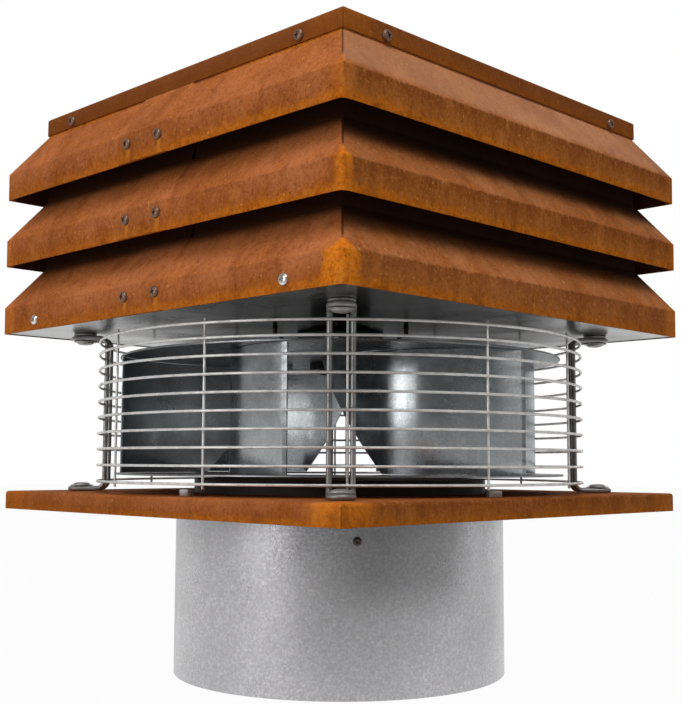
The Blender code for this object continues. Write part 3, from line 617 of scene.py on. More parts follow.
def zinc_material(name, dark, pale, grain, metallic, bump, lift, spangle, middle=None,
                  blade=False, tint=1.0, pipe_shade=0.0):
    """Galvanised sheet between a dark and a pale colour; grain is how fine its spangle is.

    lift is added to its roughness, and tint is how much it mirrors. middle is how much of its
    colour is left near the fan's axis, where painted shade darkens it and its mirroring. The last
    argument is the strength of a painted shade on the pipe's upper part. A blade's cut outer edge
    is painted dark, a painted shade, and its upper part is shaded as if it leaned out a little.
    """
    material, tree, shader, place = new_material(name)
    sheet = tree.node("ShaderNodeGroup", {
        "Vector": place, "Dark": colour(*dark), "Pale": colour(*pale), "Grain": grain,
        "Spangle": spangle}, node_tree=GROUPS["zinc"])
    finish = sheet.outputs["Color"]
    x, y, z = tree.split(place)
    flat = tree.node("ShaderNodeCombineXYZ", {"X": x, "Y": y}).outputs["Vector"]
    radius = tree.node("ShaderNodeVectorMath", {0: flat}, operation="LENGTH").outputs["Value"]
    normal = None
    # Painted shade on the pipe's upper part, on one side
    if pipe_shade:
        side_x, side_y = PIPE_SHADE_SIDE
        near = tree.plus(tree.times(x, side_x), tree.times(y, side_y))
        pipe_shade_mask = tree.ramp(z, 50.0 * MM, 90.0 * MM, 0.0, pipe_shade)
        pipe_shade_mask = tree.times(tree.ramp(near, 118.0 * MM, 135.5 * MM), pipe_shade_mask)
        finish = tree.mix(pipe_shade_mask, finish, PIPE_SHADE)
    shader.inputs["Specular Tint"].default_value = grey(tint)
    if middle is not None:
        # Painted shade near the axis darkens the colour and the mirroring; it reaches further out
        # on the right
        reach = tree.minus(radius, tree.times(tree.plus(x, y), 0.12))
        shade = tree.ramp(reach, 100.0 * MM, 220.0 * MM, middle, 1.0)
        finish = tree.mix(shade, grey(0.02), finish)
        tree.link(tree.mix(shade, grey(0.05), grey(0.78)), shader.inputs["Specular Tint"])
    if blade:
        # Painted shade: the cut outer edge is darkened towards black
        tip = tree.ramp(radius, (BLADE_TIP - 0.9) * MM, (BLADE_TIP - 0.6) * MM, 0.0, 0.5)
        finish = tree.mix(tip, finish, grey(0.03))
        lean = tree.ramp(z, 222.0 * MM, 262.0 * MM, 0.0, 2.2 * MM)
        normal = tree.bump(lean, 1.0, 1.0)
    tree.link(finish, shader.inputs["Base Color"])
    tree.link(tree.plus(sheet.outputs["Roughness"], lift), shader.inputs["Roughness"])
    if bump:
        grains = tree.bump(sheet.outputs["Height"], bump, 0.4 * MM, normal)
        tree.link(grains, shader.inputs["Normal"])
    shader.inputs["Metallic"].default_value = metallic
    return material


def metal_material(name, clean, worn, rough, metallic, scale):
    """A plated, painted or plastic piece with wear and dirt in patches."""
    material, tree, shader, place = new_material(name)
    wear = tree.node("ShaderNodeGroup", {"Vector": place, "Scale": scale},
                     node_tree=GROUPS["wear"])
    finish = tree.mix(wear.outputs["Mask"], colour(*clean), colour(*worn))
    tree.link(finish, shader.inputs["Base Color"])
    uneven = tree.times(wear.outputs["Mask"], 0.15)
    tree.link(tree.plus(uneven, rough), shader.inputs["Roughness"])
    tree.link(tree.bump(wear.outputs["Fine"], 0.15, 0.2 * MM), shader.inputs["Normal"])
    shader.inputs["Metallic"].default_value = metallic
    return material


def dress(piece, material, body, replaces=()):
    """Give a piece its finish and its body, and hide the nodes it stands for."""
    piece.data.materials.clear()
    piece.data.materials.append(material)
    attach(piece, body)
    if replaces:
        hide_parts(*replaces)
    return piece


# Marks on the sheets, and painted shade on the pipe
DRIP_ASIDE = 0.6  # of a lap screw's middle
# colour of the painted shade on the pipe's upper part
PIPE_SHADE = colour(0.10, 0.099, 0.10)
PIPE_SHADE_SIDE = (0.918, -0.397)  # its direction from the axis
TRAY_LINE = 0.55  # strength of the dark line down a tray's corners

# Folds and corners of the hood, lid and base plate
FOLD = 1.8
TRAY_FOLD = 2.4
EDGE_BEVEL = 0.25
RIM_CORNER = 2.4
FRONT_CORNER = 5.4
HIP_CORNER = 1.7

# The lap of a tier's two ends, and the screws
LAP_START = 22.0
LAP_END = -35.0
LAP_JOGGLE = 2.0  # length of each of its three steps
LAP_LIFT = (SHEET + GAP) / math.sin(math.atan2(TIER_RISE, TIER_HALF - UPSTAND_HALF))
LAP_SCREWS = (-22.8, 15.7)
LAP_SCREW_DROP = 8.4
LID_LIFT = 0.6
LID_SCREWS = (-140.0, 140.0)
LID_SCREW_DROP = 9.9
RIM_SCREWS = (-152.0, 152.0)
RIM_SCREW_RISE = 8.1
SCREW_HEAD = (4.15, 2.8)  # radius and rise
SCREW_CROSS = (4.4, 1.05, 2.6)  # length, width and height of its cutter


def rounded(line, radius, steps=3):
    """Round the inner corners of an open line of (half, height)."""
    points = [Vector(line[0])]
    for before, here, after in zip(line, line[1:], line[2:]):
        here = Vector(here)
        back = (Vector(before) - here).normalized()
        ahead = (Vector(after) - here).normalized()
        reach = radius * math.tan((math.pi - back.angle(ahead)) / 2.0)
        start, end = here + back * reach, here + ahead * reach
        for i in range(steps + 1):
            t = i / steps
            points.append((start.lerp(here, t)).lerp(here.lerp(end, t), t))
    points.append(Vector(line[-1]))
    return [tuple(point) for point in points]


def tier_line(floor):
    """A tier's section from its lower edge up: rim, slope and upstand, as (half, height)."""
    rim = floor + TIER_RIM
    return rounded([
        (TIER_HALF, floor), (TIER_HALF, rim),
        (UPSTAND_HALF, rim + TIER_RISE), (UPSTAND_HALF, rim + TIER_RISE + UPSTAND),
    ], FOLD)


def make_tier(name, floor, material):
    """One strip folded round four corners, its ends lapped on the -Y side."""
    line = tier_line(floor)
    trimmed = floor + TIER_RIM + TIER_RISE + LID_LIFT / 3.0

    def on_side(x, out=0.0, top=LID_TOP):
        return [(x, -(half + out), min(z, top)) for half, z in line]

    def round_corner(k, steps=6):
        """Rows round a corner: wide at the rim, tight up the hip."""
        sx, sy = ((-1, -1), (-1, 1), (1, 1), (1, -1))[k]
        wide = FRONT_CORNER if k == 3 else RIM_CORNER
        rows = []
        for i in range(steps + 1):
            a = math.radians(-90.0 - 90.0 * k - 90.0 * i / steps)
            row = []
            for half, z in line:
                up = min(1.0, max(0.0, (z - floor) / TIER_RIM))
                radius = wide + (HIP_CORNER - wide) * up
                x = sx * (half - radius) + radius * math.cos(a)
                y = sy * (half - radius) + radius * math.sin(a)
                row.append((x, y, z))
            rows.append(row)
        return rows

    # The inner end lies under the outer one, and above the trimmed height they meet end to end
    inner_end = 3.0 * LAP_JOGGLE - GAP
    rows = [[(LAP_START + (inner_end if z > trimmed + 1.0 else 0.0), -half, z) for half, z in line]]
    for k in range(4):
        rows += round_corner(k)
    rows += [
        on_side(LAP_START + 3.0 * LAP_JOGGLE),
        on_side(LAP_START + 2.0 * LAP_JOGGLE, top=trimmed),
        on_side(LAP_START + LAP_JOGGLE, LAP_LIFT, trimmed),
        on_side(LAP_END, LAP_LIFT, trimmed),
    ]
    tier = drawn_sheet(name + "_sheet", rows)
    face_out(tier)
    point_outwards(tier)
    thickened(tier, SHEET)
    bevelled(tier, EDGE_BEVEL, 2, 60.0)
    smooth(tier)
    dress(tier, material, "housing", (name,))


def point_outwards(sheet):
    """Turn an open sheet's faces away from the fan's axis."""
    outwards = sum(
        f.normal.dot(Vector((f.center.x, f.center.y, 0.0))) * f.area for f in sheet.data.polygons)
    if outwards < 0.0:
        flipped(sheet)


def make_tray(name, half, floor, top, material):
    """A square tray, open below: a sheet with its rim pulled down and its folds rounded."""
    tray = added(name + "_sheet", bpy.ops.mesh.primitive_plane_add, size=2.0 * half * MM,
                 location=(0.0, 0.0, top * MM))
    bpy.ops.object.transform_apply(location=True, rotation=True, scale=True)
    edit(tray)
    bpy.ops.mesh.select_mode(type="EDGE")
    bpy.ops.mesh.select_all(action="SELECT")
    bpy.ops.mesh.region_to_loop()
    down = (0.0, 0.0, (floor - top) * MM)
    bpy.ops.mesh.extrude_edges_move(TRANSFORM_OT_translate={"value": down})
    bpy.ops.mesh.select_all(action="SELECT")
    bpy.ops.mesh.normals_make_consistent(inside=False)
    done()
    bevelled(tray, TRAY_FOLD, 4, 40.0)
    if sum(f.normal.z * f.area for f in tray.data.polygons) < 0.0:
        flipped(tray)
    thickened(tray, SHEET)
    bevelled(tray, EDGE_BEVEL, 2, 60.0)
    smooth(tray)
    return dress(tray, material, "housing", (name,))


def make_base_plate(material):
    """The tray on the pipe, with a hole for the collar."""
    tray = make_tray("base_plate", BASE_HALF, BASE_FLOOR, BASE_TOP, material)
    cut(tray, added("hole", bpy.ops.mesh.primitive_cylinder_add, vertices=128,
                    radius=(COLLAR_RADIUS + GAP) * MM, depth=10.0 * MM,
                    location=(0.0, 0.0, BASE_TOP * MM)))
    smooth(tray)


def pan_screw(name):
    """A pan head with a cross recess, its seat at the origin."""
    radius, rise = SCREW_HEAD
    outline = [
        (0.0, -0.4), (radius, -0.4), (radius, rise * 0.42), (radius * 0.93, rise * 0.72),
        (radius * 0.74, rise * 0.92), (radius * 0.45, rise), (0.0, rise * 1.01),
    ]
    screw = turned(name, outline, 24)
    for turn in (45.0, 135.0):
        cut(screw, added("slot", bpy.ops.mesh.primitive_cube_add, size=1.0,
                         location=(0.0, 0.0, rise * MM), rotation=(0.0, 0.0, math.radians(turn)),
                         scale=[size * MM for size in SCREW_CROSS]))
    smooth(screw, 40.0)
    return screw


def side_places(offsets, half, height, sides=(0, 1, 2, 3)):
    """Places on the four sides, from -Y round by +X, that look straight out."""
    places = []
    for side in sides:
        for offset in offsets:
            seat = along((0.0, -1.0, 0.0), (offset, -half, height))
            places.append(about_z(90.0 * side) @ seat)
    return places


def make_screws(rusty, bright):
    """Rusted screws in the lid and the laps, bright ones in the lowest rim, all turned anyhow."""
    screw = pan_screw("pan_screw")

    def screw_set(name, places, turn, material):
        heads = [place_copy(screw, "screw", p @ about_z(turn * i)) for i, p in enumerate(places)]
        heads = joined(name, heads)
        smooth(heads, 40.0)
        dress(heads, material, "housing")

    places = side_places(LID_SCREWS, LID_HALF, LID_TOP - LID_SCREW_DROP)
    for tier in range(3):
        height = HOOD_FLOOR + tier * TIER_PITCH + TIER_RIM - LAP_SCREW_DROP
        places += side_places(LAP_SCREWS, TIER_HALF + LAP_LIFT, height, (0,))
    screw_set("hood_screws", places, 37.0, rusty)
    places = side_places(RIM_SCREWS, TIER_HALF, HOOD_FLOOR + RIM_SCREW_RISE, (0, 2))
    screw_set("rim_screws", places, 51.0, bright)
    removed(screw)


# Guard, rods and bolts
RING_FIRST = 9.25  # above the base plate
RING_PITCH = 12.75
RING_LAST = 10.75  # above the ring below it
RING_LEVELS = [BASE_TOP + RING_FIRST + RING_PITCH * i for i in range(9)]
RING_LEVELS.append(RING_LEVELS[-1] + RING_LAST)
UPRIGHT_PAST = 3.5  # beyond the outer rings
UPRIGHT_SINK = 0.3  # into the rings
WELD = (0.9, 1.7, 1.6)  # half its depth, width and height
LOOP_SIDE = 8.15  # half the distance between a loop's uprights
LOOP_BEND = 7.0  # radius of its small bends
LOOP_REACH = 229.5  # from the axis to the outside of its foot
WASHER_RADIUS = 9.6
WASHER_BORE = 3.5
LARGE_NUT = 13.0  # across its flats
SMALL_NUT = 10.0


def make_guard(material):
    """Round rings spot-welded outside straight uprights."""
    wire = RING_WIRE / 2.0
    angles = [TURN * k / 10 for k in range(10)]
    outline = [(RING_RADIUS + wire * math.cos(a), wire * math.sin(a)) for a in angles]
    ring = turned("guard_ring", outline, 144)
    parts = [place_copy(ring, "ring", Matrix.Translation((0.0, 0.0, level * MM)))
             for level in RING_LEVELS]
    removed(ring)
    low, high = RING_LEVELS[0] - UPRIGHT_PAST, RING_LEVELS[-1] + UPRIGHT_PAST
    thick = UPRIGHT_WIRE / 2.0
    outline = [
        (0.0, low), (thick * 0.7, low), (thick, low + 0.35),
        (thick, high - 0.35), (thick * 0.7, high), (0.0, high),
    ]
    upright = turned("guard_upright", outline, 10)
    reach = RING_RADIUS - wire - thick + UPRIGHT_SINK
    weld = added("weld", bpy.ops.mesh.primitive_ico_sphere_add, subdivisions=2, radius=1.0)
    for vertex in weld.data.vertices:
        vertex.co = Vector([c * size for c, size in zip(vertex.co, WELD)]) * MM
    for k in range(UPRIGHT_COUNT):
        turn = about_z(UPRIGHT_TURN + 30.0 * k)
        stand = turn @ Matrix.Translation((reach * MM, 0.0, 0.0))
        parts.append(place_copy(upright, "upright", stand))
        for level in RING_LEVELS:
            spot = turn @ Matrix.Translation(((RING_RADIUS - wire) * MM, 0.0, level * MM))
            parts.append(place_copy(weld, "weld", spot))
    removed(upright)
    removed(weld)
    guard = joined("guard_basket", parts)
    smooth(guard, 60.0)
    dress(guard, material, "housing", ("wire_guard",))


def loop_points(low, high):
    """Closed middle line of a rod loop towards +X: two uprights, two feet bent outwards."""
    stand = math.sqrt((RING_RADIUS - RING_WIRE / 2.0 - GAP - ROD / 2.0) ** 2 - LOOP_SIDE ** 2)
    foot = LOOP_REACH - ROD / 2.0 - LOOP_SIDE

    def corner(y, level, up, steps=8):
        points = []
        for i in range(steps + 1):
            a = math.pi / 2.0 * i / steps
            x = stand + LOOP_BEND * (1.0 - math.cos(a))
            points.append((x, y, level - up * LOOP_BEND * (1.0 - math.sin(a))))
        return points

    def nose(level, steps=16):
        angles = [-math.pi / 2.0 + math.pi * i / steps for i in range(steps + 1)]
        return [(foot + LOOP_SIDE * math.cos(a), LOOP_SIDE * math.sin(a), level) for a in angles]

    upper = corner(-LOOP_SIDE, high, 1) + nose(high) + corner(LOOP_SIDE, high, 1)[::-1]
    lower = corner(LOOP_SIDE, low, -1) + nose(low)[::-1] + corner(-LOOP_SIDE, low, -1)[::-1]
    return upper + lower


def make_rod_loops(material):
    """Four rod loops between base plate and hood, one on each diagonal."""
    low = BASE_TOP + GAP + ROD / 2.0
    high = PLATE_UNDER - SPACER - 2.0 * GAP - ROD / 2.0
    loop = closed_line("rod_loop", loop_points(low, high))
    bpy.ops.object.convert(target="CURVE")
    loop = bpy.context.object
    loop.data.bevel_depth = ROD / 2.0 * MM
    loop.data.bevel_resolution = 4
    bpy.ops.object.convert(target="MESH")
    loop = bpy.context.object
    face_out(loop)
    smooth(loop, 60.0)
    for k, name in enumerate(("front", "right", "back", "left")):
        copy = place_copy(loop, "rod_" + name, about_z(-45.0 + 90.0 * k))
        dress(copy, material, "housing", ("rod_loop_" + name,))
    removed(loop)


def hex_prism(name, across, low, high):
    """A hexagon nut or head with turned-off corners."""
    corner = across / math.sqrt(3.0)
    nut = added(name, bpy.ops.mesh.primitive_cylinder_add, vertices=6, radius=corner * MM,
                depth=(high - low) * MM, location=(0.0, 0.0, (low + high) / 2.0 * MM))
    bpy.ops.object.transform_apply(location=True, rotation=True, scale=True)
    # What the cone leaves has its upper corners turned off
    cone = turned("cone", [
        (0.0, low - 1.0), (corner + 2.0, low - 1.0), (corner + 2.0, high - 2.5),
        (across / 2.0, high + 0.3), (0.0, high + 0.3)], 48)
    cut(nut, cone, "INTERSECT")
    bevelled(nut, 0.2, 2, 40.0)
    return nut


def washer(low, high):
    edge = min(0.35, (high - low) * 0.35)
    return flat_ring("washer", WASHER_BORE, WASHER_RADIUS, low, high, edge, 40)


def make_loop_bolts(material):
    """A domed head and washer on each foot, the nut and its tail under the sheet."""
    dome = [(0.0, 0.9), (7.0, 0.9), (7.0, 1.5), (6.6, 2.1), (5.2, 2.75), (3.0, 3.15), (0.0, 3.25)]

    def bolt(name, stack, spacer=None):
        """A bolt through a stack of sheets, its head's seat at the origin."""
        end = -stack - 9.0
        shank = [(0.0, end), (3.6, end), (4.0, end + 0.5), (4.0, 1.0), (0.0, 1.0)]
        parts = [
            washer(0.3, 1.0), turned("dome", dome, 40), turned("shank", shank, 24),
            hex_prism("nut", LARGE_NUT, -stack - 6.8, -stack - 0.3),
        ]
        if spacer:
            parts.append(washer(*spacer))
        piece = joined(name, parts)
        smooth(piece, 35.0)
        return piece

    foot = bolt("foot_bolt_master", ROD + SHEET + 2.0 * GAP)
    rod_under = PLATE_UNDER - 2.0 * GAP - SPACER - ROD
    spacer = (-(PLATE_UNDER - GAP - rod_under), -ROD - GAP)
    head = bolt("head_bolt_master", PLATE_UNDER + SHEET + GAP - rod_under - GAP, spacer)
    for k, name in enumerate(("right", "back", "left", "front")):
        a = math.radians(45.0 + 90.0 * k)
        x, y = LOOP_BOLT_CIRCLE * math.cos(a), LOOP_BOLT_CIRCLE * math.sin(a)
        seat = along((0, 0, 1), (x, y, BASE_TOP + GAP + ROD))
        low = place_copy(foot, "foot_fixing_" + name, seat)
        dress(low, material, "housing", ("foot_bolt_" + name,))
        seat = along((0, 0, -1), (x, y, rod_under))
        high = place_copy(head, "head_fixing_" + name, seat)
        dress(high, material, "housing", ("head_bolt_" + name,))
    removed(foot)
    removed(head)


def make_side_bolts(material):
    """Bolts near the middle of the base plate's sides."""
    shank = [(0.0, -8.3), (2.6, -8.3), (3.0, -7.8), (3.0, 0.5), (0.0, 0.5)]
    master = joined("side_bolt_master", [
        hex_prism("head", SMALL_NUT, 0.3, 5.0), hex_prism("nut", SMALL_NUT, -6.8, -1.8),
        turned("shank", shank, 20)])
    smooth(master, 35.0)
    place, off = BASE_HALF - SIDE_BOLT_IN, SIDE_BOLT_OFF
    spots = {
        "left": (off, -place), "right": (place, -off),
        "back_right": (-off, place), "back_left": (-place, off),
    }
    for name, (x, y) in spots.items():
        copy = place_copy(master, "side_fixing_" + name, along((0, 0, 1), (x, y, BASE_TOP)))
        dress(copy, material, "housing", ("side_bolt_" + name,))
    removed(master)


def make_motor_studs(material):
    """Studs that show as thin tips under the underplate, with nuts on the motor's flange."""
    stud = [
        (0.0, -13.6), (3.0, -13.6), (3.0, 0.0), (1.9, 0.3), (1.9, 4.6), (1.5, 5.0), (0.0, 5.0),
    ]
    parts = [turned("stud", stud, 20), hex_prism("nut", SMALL_NUT, -12.1, -7.1)]
    master = joined("motor_stud_master", parts)
    smooth(master, 35.0)
    for k, name in enumerate(("right", "back", "left", "front")):
        a = math.radians(90.0 * k)
        x, y = MOTOR_BOLT_CIRCLE * math.cos(a), MOTOR_BOLT_CIRCLE * math.sin(a)
        copy = place_copy(master, "motor_stud_" + name, along((0, 0, -1), (x, y, PLATE_UNDER)))
        dress(copy, material, "housing", ("motor_bolt_" + name,))
    removed(master)


# Pipe, collar, rotor
RIVET_COUNT = 3
RIVET_TURN = -39.8  # of the first one from +X
RIVET_LEVEL = 113.4
SLEEVE_DROP = 42.0
ROTOR_EDGE = 0.3

# A blade follows an arc from its tip inwards
BLADE_COUNT = 6
BLADE_TURN = -56.7  # of the first tip from +X
BLADE_TIP = 184.0  # from the axis
BLADE_ARC = 110.0  # its radius
BLADE_LEAVE = 23.3  # between the arc and the disc's rim
BLADE_FULL = 57.8  # the sweep that has the full height
BLADE_CUT = 39.2  # the sweep in which the lower edge rises
BLADE_HEEL = 4.0  # the height left at the inner end


def make_pipe(material, rivet_material):
    """The spigot and the rivet heads round it."""
    top = BASE_TOP - SHEET - GAP
    inner = PIPE_RADIUS - PIPE_WALL
    edge = 0.3
    outline = [
        (inner + edge, 0.0), (PIPE_RADIUS - edge, 0.0), (PIPE_RADIUS, edge),
        (PIPE_RADIUS, top), (inner, top), (inner, edge),
    ]
    pipe = turned("pipe_tube", outline, 160)
    smooth(pipe)
    dress(pipe, material, "housing", ("spigot_pipe",))
    head = [
        (0.0, -0.3), (3.3, -0.3), (3.3, 0.3), (2.6, 1.0), (1.4, 1.3), (0.9, 0.9), (0.0, 0.8),
    ]
    rivet = turned("rivet_master", head, 24)
    parts = []
    for k in range(RIVET_COUNT):
        a = math.radians(RIVET_TURN + 120.0 * k)
        out = Vector((math.cos(a), math.sin(a), 0.0))
        seat = along(out, out * PIPE_RADIUS + Vector((0.0, 0.0, RIVET_LEVEL)))
        parts.append(place_copy(rivet, "rivet", seat))
    removed(rivet)
    rivets = joined("pipe_rivets", parts)
    smooth(rivets)
    dress(rivets, rivet_material, "housing")


def make_collar(material):
    """The nozzle under the rotor's eye, with a flange under the base plate and a sleeve."""
    sleeve = PIPE_RADIUS - PIPE_WALL - GAP
    flange = BASE_TOP - SHEET - GAP
    r = COLLAR_RADIUS
    w = COLLAR_WALL
    edge = 0.4
    outline = [
        (r - w + edge, COLLAR_TOP), (r - edge, COLLAR_TOP), (r, COLLAR_TOP - edge), (r, flange),
        (sleeve, flange), (sleeve, flange - SLEEVE_DROP), (sleeve - w, flange - SLEEVE_DROP),
        (sleeve - w, flange - w), (r - w, flange - w), (r - w, COLLAR_TOP - edge),
    ]
    collar = turned("collar_nozzle", outline, 144)
    smooth(collar)
    dress(collar, material, "housing", ("inlet_collar",))


def blade_point(sweep):
    """A point of a blade's middle line, a sweep inwards from its tip."""
    leave = math.radians(BLADE_LEAVE)
    centre = Vector((BLADE_TIP - BLADE_ARC * math.cos(leave), BLADE_ARC * math.sin(leave)))
    a = -leave - math.radians(sweep)
    return centre + BLADE_ARC * Vector((math.cos(a), math.sin(a)))


def make_blades(material):
    """Backward-curved blades whose lower edges rise towards the axis."""
    low = ROTOR_RING_UNDER + ROTOR_SHEET + GAP
    high = ROTOR_DISC_UNDER - GAP
    sweeps = [BLADE_FULL * i / 20 for i in range(21)]
    sweeps += [BLADE_FULL + BLADE_CUT * (i + 1) / 12 for i in range(12)]
    rows = []
    for sweep in sweeps:
        point = blade_point(sweep)
        rise = max(0.0, sweep - BLADE_FULL) / BLADE_CUT
        under = low + (high - BLADE_HEEL - low) * rise
        rows.append([(point.x, point.y, under), (point.x, point.y, high)])
    master = drawn_sheet("blade_master", rows)
    thickened(master, ROTOR_SHEET, 0.0)
    bevelled(master, 0.3, 2, 60.0)
    face_out(master)
    smooth(master)
    for k in range(BLADE_COUNT):
        turn = about_z(BLADE_TURN + 360.0 / BLADE_COUNT * k)
        blade = place_copy(master, "blade_%d" % (k + 1), turn)
        dress(blade, material, "rotor", ("rotor_blade_%d" % (k + 1),))
    removed(master)


def make_rotor_discs(material):
    """The disc over the blades, and the ring under them round the rotor's eye."""
    for name, node, bore, radius, low in (
            ("rotor_top_disc", "rotor_disc", ROTOR_DISC_BORE, ROTOR_DISC_RADIUS,
             ROTOR_DISC_UNDER),
            ("rotor_eye_ring", "rotor_inlet_ring", ROTOR_EYE_RADIUS, ROTOR_RING_RADIUS,
             ROTOR_RING_UNDER)):
        disc = flat_ring(name, bore, radius, low, low + ROTOR_SHEET, ROTOR_EDGE, 160)
        smooth(disc)
        dress(disc, material, "rotor", (node,))


# The floor, in metres
FLOOR_SIZE = 14.0
FLOOR_DROP = 0.0005
FLOOR_GREY = 0.42
FLOOR_SEEN = 0.97  # how white the camera sees it

# The room's directions, its light, and what metal mirrors of it, where 1 is white
FRONT = (0.707, -0.707, 0.0)
LEFT_OF_FRONT = (-0.259, -0.966, 0.0)
ROOM_BACK = 0.35
ROOM_FRONT = 0.06
MIRROR_SIDE = 0.5
MIRROR_FRONT = 0.1
MIRROR_LEFT = 0.5

# Each lamp's name, place, target, width and height in metres, and power in watts
LAMPS = (
    ("key", (-0.15, -2.2, 0.72), (0.0, 0.0, 0.3), (1.3, 1.15), 15.5),
    ("fill", (2.3, 0.5, 0.9), (0.0, 0.0, 0.3), (1.5, 1.4), 4.4),
    ("top", (0.95, -0.78, 2.0), (0.0, 0.0, 0.4), (1.2, 1.2), 28.5),
)

# The camera, in metres, degrees and, for the lens, millimetres
CAMERA_PLACE = (0.684617, -0.689425, 0.170000)
CAMERA_HEADING = 44.79
CAMERA_PITCH = 5.55
CAMERA_ROLL = 0.239
CAMERA_SENSOR = 36.0
CAMERA_LENS = 58.336


def make_floor():
    """A pale floor that is white to the camera, and in reflections behind the fan."""
    floor = added("floor", bpy.ops.mesh.primitive_plane_add, size=FLOOR_SIZE,
                  location=(0.0, 0.0, -FLOOR_DROP))
    bpy.ops.object.transform_apply(location=True, rotation=True, scale=True)
    material, tree, shader, place = new_material("pale_floor")
    shader.inputs["Base Color"].default_value = grey(FLOOR_GREY)
    shader.inputs["Roughness"].default_value = 0.9
    x, y, _ = tree.split(place)
    mirrored = tree.ramp(tree.minus(x, y), 0.2, 1.0, 1.0, 0.2)
    path = tree.node("ShaderNodeLightPath").outputs
    seen = tree.larger(path["Is Camera Ray"], path["Is Transmission Ray"])
    seen = tree.larger(seen, tree.times(path["Is Glossy Ray"], mirrored))
    glow = tree.node("ShaderNodeEmission", {"Color": grey(1.0), "Strength": 1.0})
    blend = tree.node("ShaderNodeMixShader", {
        0: tree.times(seen, FLOOR_SEEN), 1: shader.outputs[0], 2: glow.outputs[0]})
    surface = material.node_tree.nodes["Material Output"].inputs["Surface"]
    tree.link(blend.outputs[0], surface)
    floor.data.materials.append(material)


def make_room():
    """White to the camera; a room that is paler behind the fan and, in reflections, beside it."""
    world = bpy.data.worlds.new("studio")
    bpy.context.scene.world = world
    world.use_nodes = True
    tree = Tree(world.node_tree)
    back = world.node_tree.nodes["Background"]
    direction = tree.node("ShaderNodeTexCoord").outputs["Generated"]
    towards = tree.dot(direction, FRONT)
    room = tree.ramp(towards, -0.7, 0.6, ROOM_BACK, ROOM_FRONT)
    path = tree.node("ShaderNodeLightPath").outputs
    seen = tree.larger(path["Is Camera Ray"], path["Is Transmission Ray"])
    backdrop = tree.ramp(towards, -0.76, -0.66, 1.0, 0.0)
    mirrored = tree.larger(backdrop, tree.ramp(towards, -0.6, 0.3, MIRROR_SIDE, MIRROR_FRONT))
    beside = tree.ramp(tree.dot(direction, LEFT_OF_FRONT), 0.8, 0.99, 0.0, MIRROR_LEFT)
    mirrored = tree.times(path["Is Glossy Ray"], tree.larger(mirrored, beside))
    tree.link(tree.larger(tree.larger(room, seen), mirrored), back.inputs["Strength"])
    back.inputs["Color"].default_value = grey(1.0)


def make_lamps():
    for name, place, target, size, power in LAMPS:
        bpy.ops.object.select_all(action="DESELECT")
        bpy.ops.object.light_add(type="AREA", location=place)
        lamp = bpy.context.object
        lamp.name = name
        lamp.data.shape = "RECTANGLE"
        lamp.data.size, lamp.data.size_y = size
        lamp.data.energy = power
        look = Vector(target) - Vector(place)
        lamp.rotation_euler = look.to_track_quat("-Z", "Y").to_euler()


def make_camera():
    """The photograph's viewpoint: a place, a heading from +Y towards -X, a pitch and a roll."""
    heading = math.radians(CAMERA_HEADING)
    pitch = math.radians(CAMERA_PITCH)
    roll = math.radians(CAMERA_ROLL)
    level = math.cos(pitch)
    ahead = Vector((-math.sin(heading) * level, math.cos(heading) * level, math.sin(pitch)))
    right = Vector((math.cos(heading), math.sin(heading), 0.0))
    up = right.cross(ahead)
    side = right * math.cos(roll) + up * math.sin(roll)
    top = up * math.cos(roll) - right * math.sin(roll)
    data = bpy.data.cameras.new("camera")
    camera = bpy.data.objects.new("camera", data)
    bpy.context.scene.collection.objects.link(camera)
    data.sensor_width = CAMERA_SENSOR
    data.lens = CAMERA_LENS
    data.clip_start = 0.05
    data.clip_end = 50.0
    turn = Matrix((side, top, -ahead)).transposed()
    camera.matrix_world = Matrix.Translation(CAMERA_PLACE) @ turn.to_4x4()
    bpy.context.scene.camera = camera


def dress_nodes(material, *names):
    """Give solids that show as they are their finish."""
    for name in names:
        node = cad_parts[name]
        node.data.materials.clear()
        node.data.materials.append(material)


def make_rusted_sheets():
    """The three tiers from the lowest up, the lid and the base plate."""
    # Each tier's name, bloom and its width, strength of painted shade and lee
    tiers = (
        ("louvre_lower", 0.95, 17.0, 1.0, 0.72),
        ("louvre_middle", 0.8, 10.0, 1.0, 1.0),
        ("louvre_upper", 0.25, 9.0, 0.0, 1.0),
    )
    for i, (name, bloom, width, painted_shade, lee) in enumerate(tiers):
        floor = HOOD_FLOOR + i * TIER_PITCH
        make_tier(name, floor, rust_material(
            name + "_rust", floor, TIER_RIM, TIER_HALF, bloom, width, hip=0.85,
            painted_shade=painted_shade, crest=0.8 * (1.0 - painted_shade), lee=lee))
    make_tray("lid", LID_HALF, LID_FLOOR, LID_TOP, rust_material(
        "lid_rust", LID_FLOOR, LID_TOP - LID_FLOOR, LID_HALF, 0.6, 32.0, (0.76, 0.62)))
    make_base_plate(rust_material(
        "base_rust", BASE_FLOOR, BASE_TOP - BASE_FLOOR, BASE_HALF, 0.75, 34.0, (0.11, 0.18)))


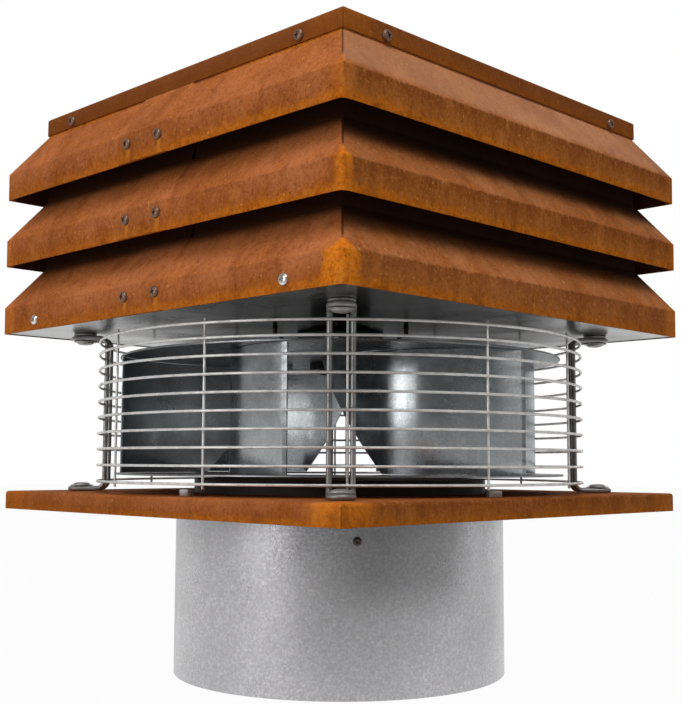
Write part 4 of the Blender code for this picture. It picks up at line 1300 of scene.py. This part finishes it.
def main():
    bpy.ops.object.select_all(action="DESELECT")
    GROUPS["rust"] = make_rust_group()
    GROUPS["zinc"] = make_zinc_group()
    GROUPS["wear"] = make_wear_group()
    make_camera()
    make_floor()
    make_room()
    make_lamps()

    # Galvanised finishes: dark and pale colour, grain, metallic, bump, lift and spangle
    pipe_zinc = zinc_material(
        "pipe_zinc", (0.45, 0.442, 0.453), (0.69, 0.678, 0.695), 520.0, 0.78, 0.3, -0.04, 0.1,
        pipe_shade=0.42)
    rotor_zinc = zinc_material(
        "rotor_zinc", (0.40, 0.425, 0.44), (0.58, 0.605, 0.62), 180.0, 0.95, 0.05, -0.06, 0.1,
        blade=True, tint=0.75)
    # A darker copy of the rotor's zinc, painted shade on the discs
    disc_shaded_zinc = zinc_material(
        "disc_shaded_zinc", (0.26, 0.27, 0.28), (0.38, 0.39, 0.40), 180.0, 0.95, 0.05, -0.05, 0.1,
        tint=0.65)
    # Painted shade darkens the underplate near the axis
    plate_zinc = zinc_material(
        "underplate_zinc", (0.30, 0.305, 0.295), (0.39, 0.395, 0.385), 220.0, 0.95, 0.0, -0.12,
        0.05, middle=0.15)

    # Other finishes: clean and worn colour, roughness, metallic and how fine the patches are
    wire_zinc = metal_material(
        "wire_zinc", (0.80, 0.79, 0.77), (0.62, 0.60, 0.57), 0.36, 0.45, 90.0)
    rod_zinc = metal_material(
        "rod_zinc", (0.33, 0.325, 0.32), (0.24, 0.23, 0.22), 0.34, 0.6, 90.0)
    bolt_zinc = metal_material(
        "bolt_zinc", (0.44, 0.43, 0.415), (0.30, 0.285, 0.265), 0.4, 0.6, 160.0)
    black = metal_material(
        "black_paint", (0.02, 0.02, 0.022), (0.035, 0.03, 0.028), 0.45, 0.1, 60.0)
    # A near-black brown for the collar
    near_black_brown = metal_material(
        "near_black_brown_finish", (0.022, 0.010, 0.006), (0.040, 0.015, 0.007), 0.5, 0.0, 60.0)
    rusty = metal_material(
        "rusted_screw", (0.17, 0.12, 0.095), (0.30, 0.13, 0.05), 0.4, 0.65, 900.0)
    bright = metal_material(
        "bright_screw", (0.78, 0.76, 0.73), (0.58, 0.52, 0.46), 0.24, 0.95, 500.0)
    paint = metal_material(
        "motor_paint", (0.045, 0.045, 0.05), (0.07, 0.065, 0.06), 0.42, 0.1, 60.0)
    dark = metal_material(
        "dark_bolt", (0.10, 0.08, 0.07), (0.06, 0.045, 0.04), 0.5, 0.7, 300.0)
    steel = metal_material(
        "ground_steel", (0.55, 0.55, 0.56), (0.42, 0.40, 0.38), 0.22, 1.0, 120.0)
    plastic = metal_material(
        "box_plastic", (0.09, 0.09, 0.10), (0.12, 0.115, 0.11), 0.5, 0.0, 80.0)

    make_rusted_sheets()
    make_screws(rusty, bright)
    make_guard(wire_zinc)
    make_rod_loops(rod_zinc)
    make_loop_bolts(bolt_zinc)
    make_side_bolts(bolt_zinc)
    make_motor_studs(dark)
    make_pipe(pipe_zinc, dark)
    make_collar(near_black_brown)
    make_blades(rotor_zinc)
    make_rotor_discs(disc_shaded_zinc)

    posts = ["hood_post_" + name for name in ("front", "right", "back", "left")]
    dress_nodes(plate_zinc, "underplate", *posts)
    dress_nodes(paint, "motor_casing", "motor_end_cover")
    dress_nodes(black, "rotor_hub", "hub_clamp")
    dress_nodes(steel, "hub_nut", "motor_shaft", "motor_bearing_lower", "motor_bearing_upper")
    dress_nodes(plastic, "terminal_box", "terminal_box_lid", "cable_gland")

    bpy.context.scene.view_settings.view_transform = "Standard"


main()
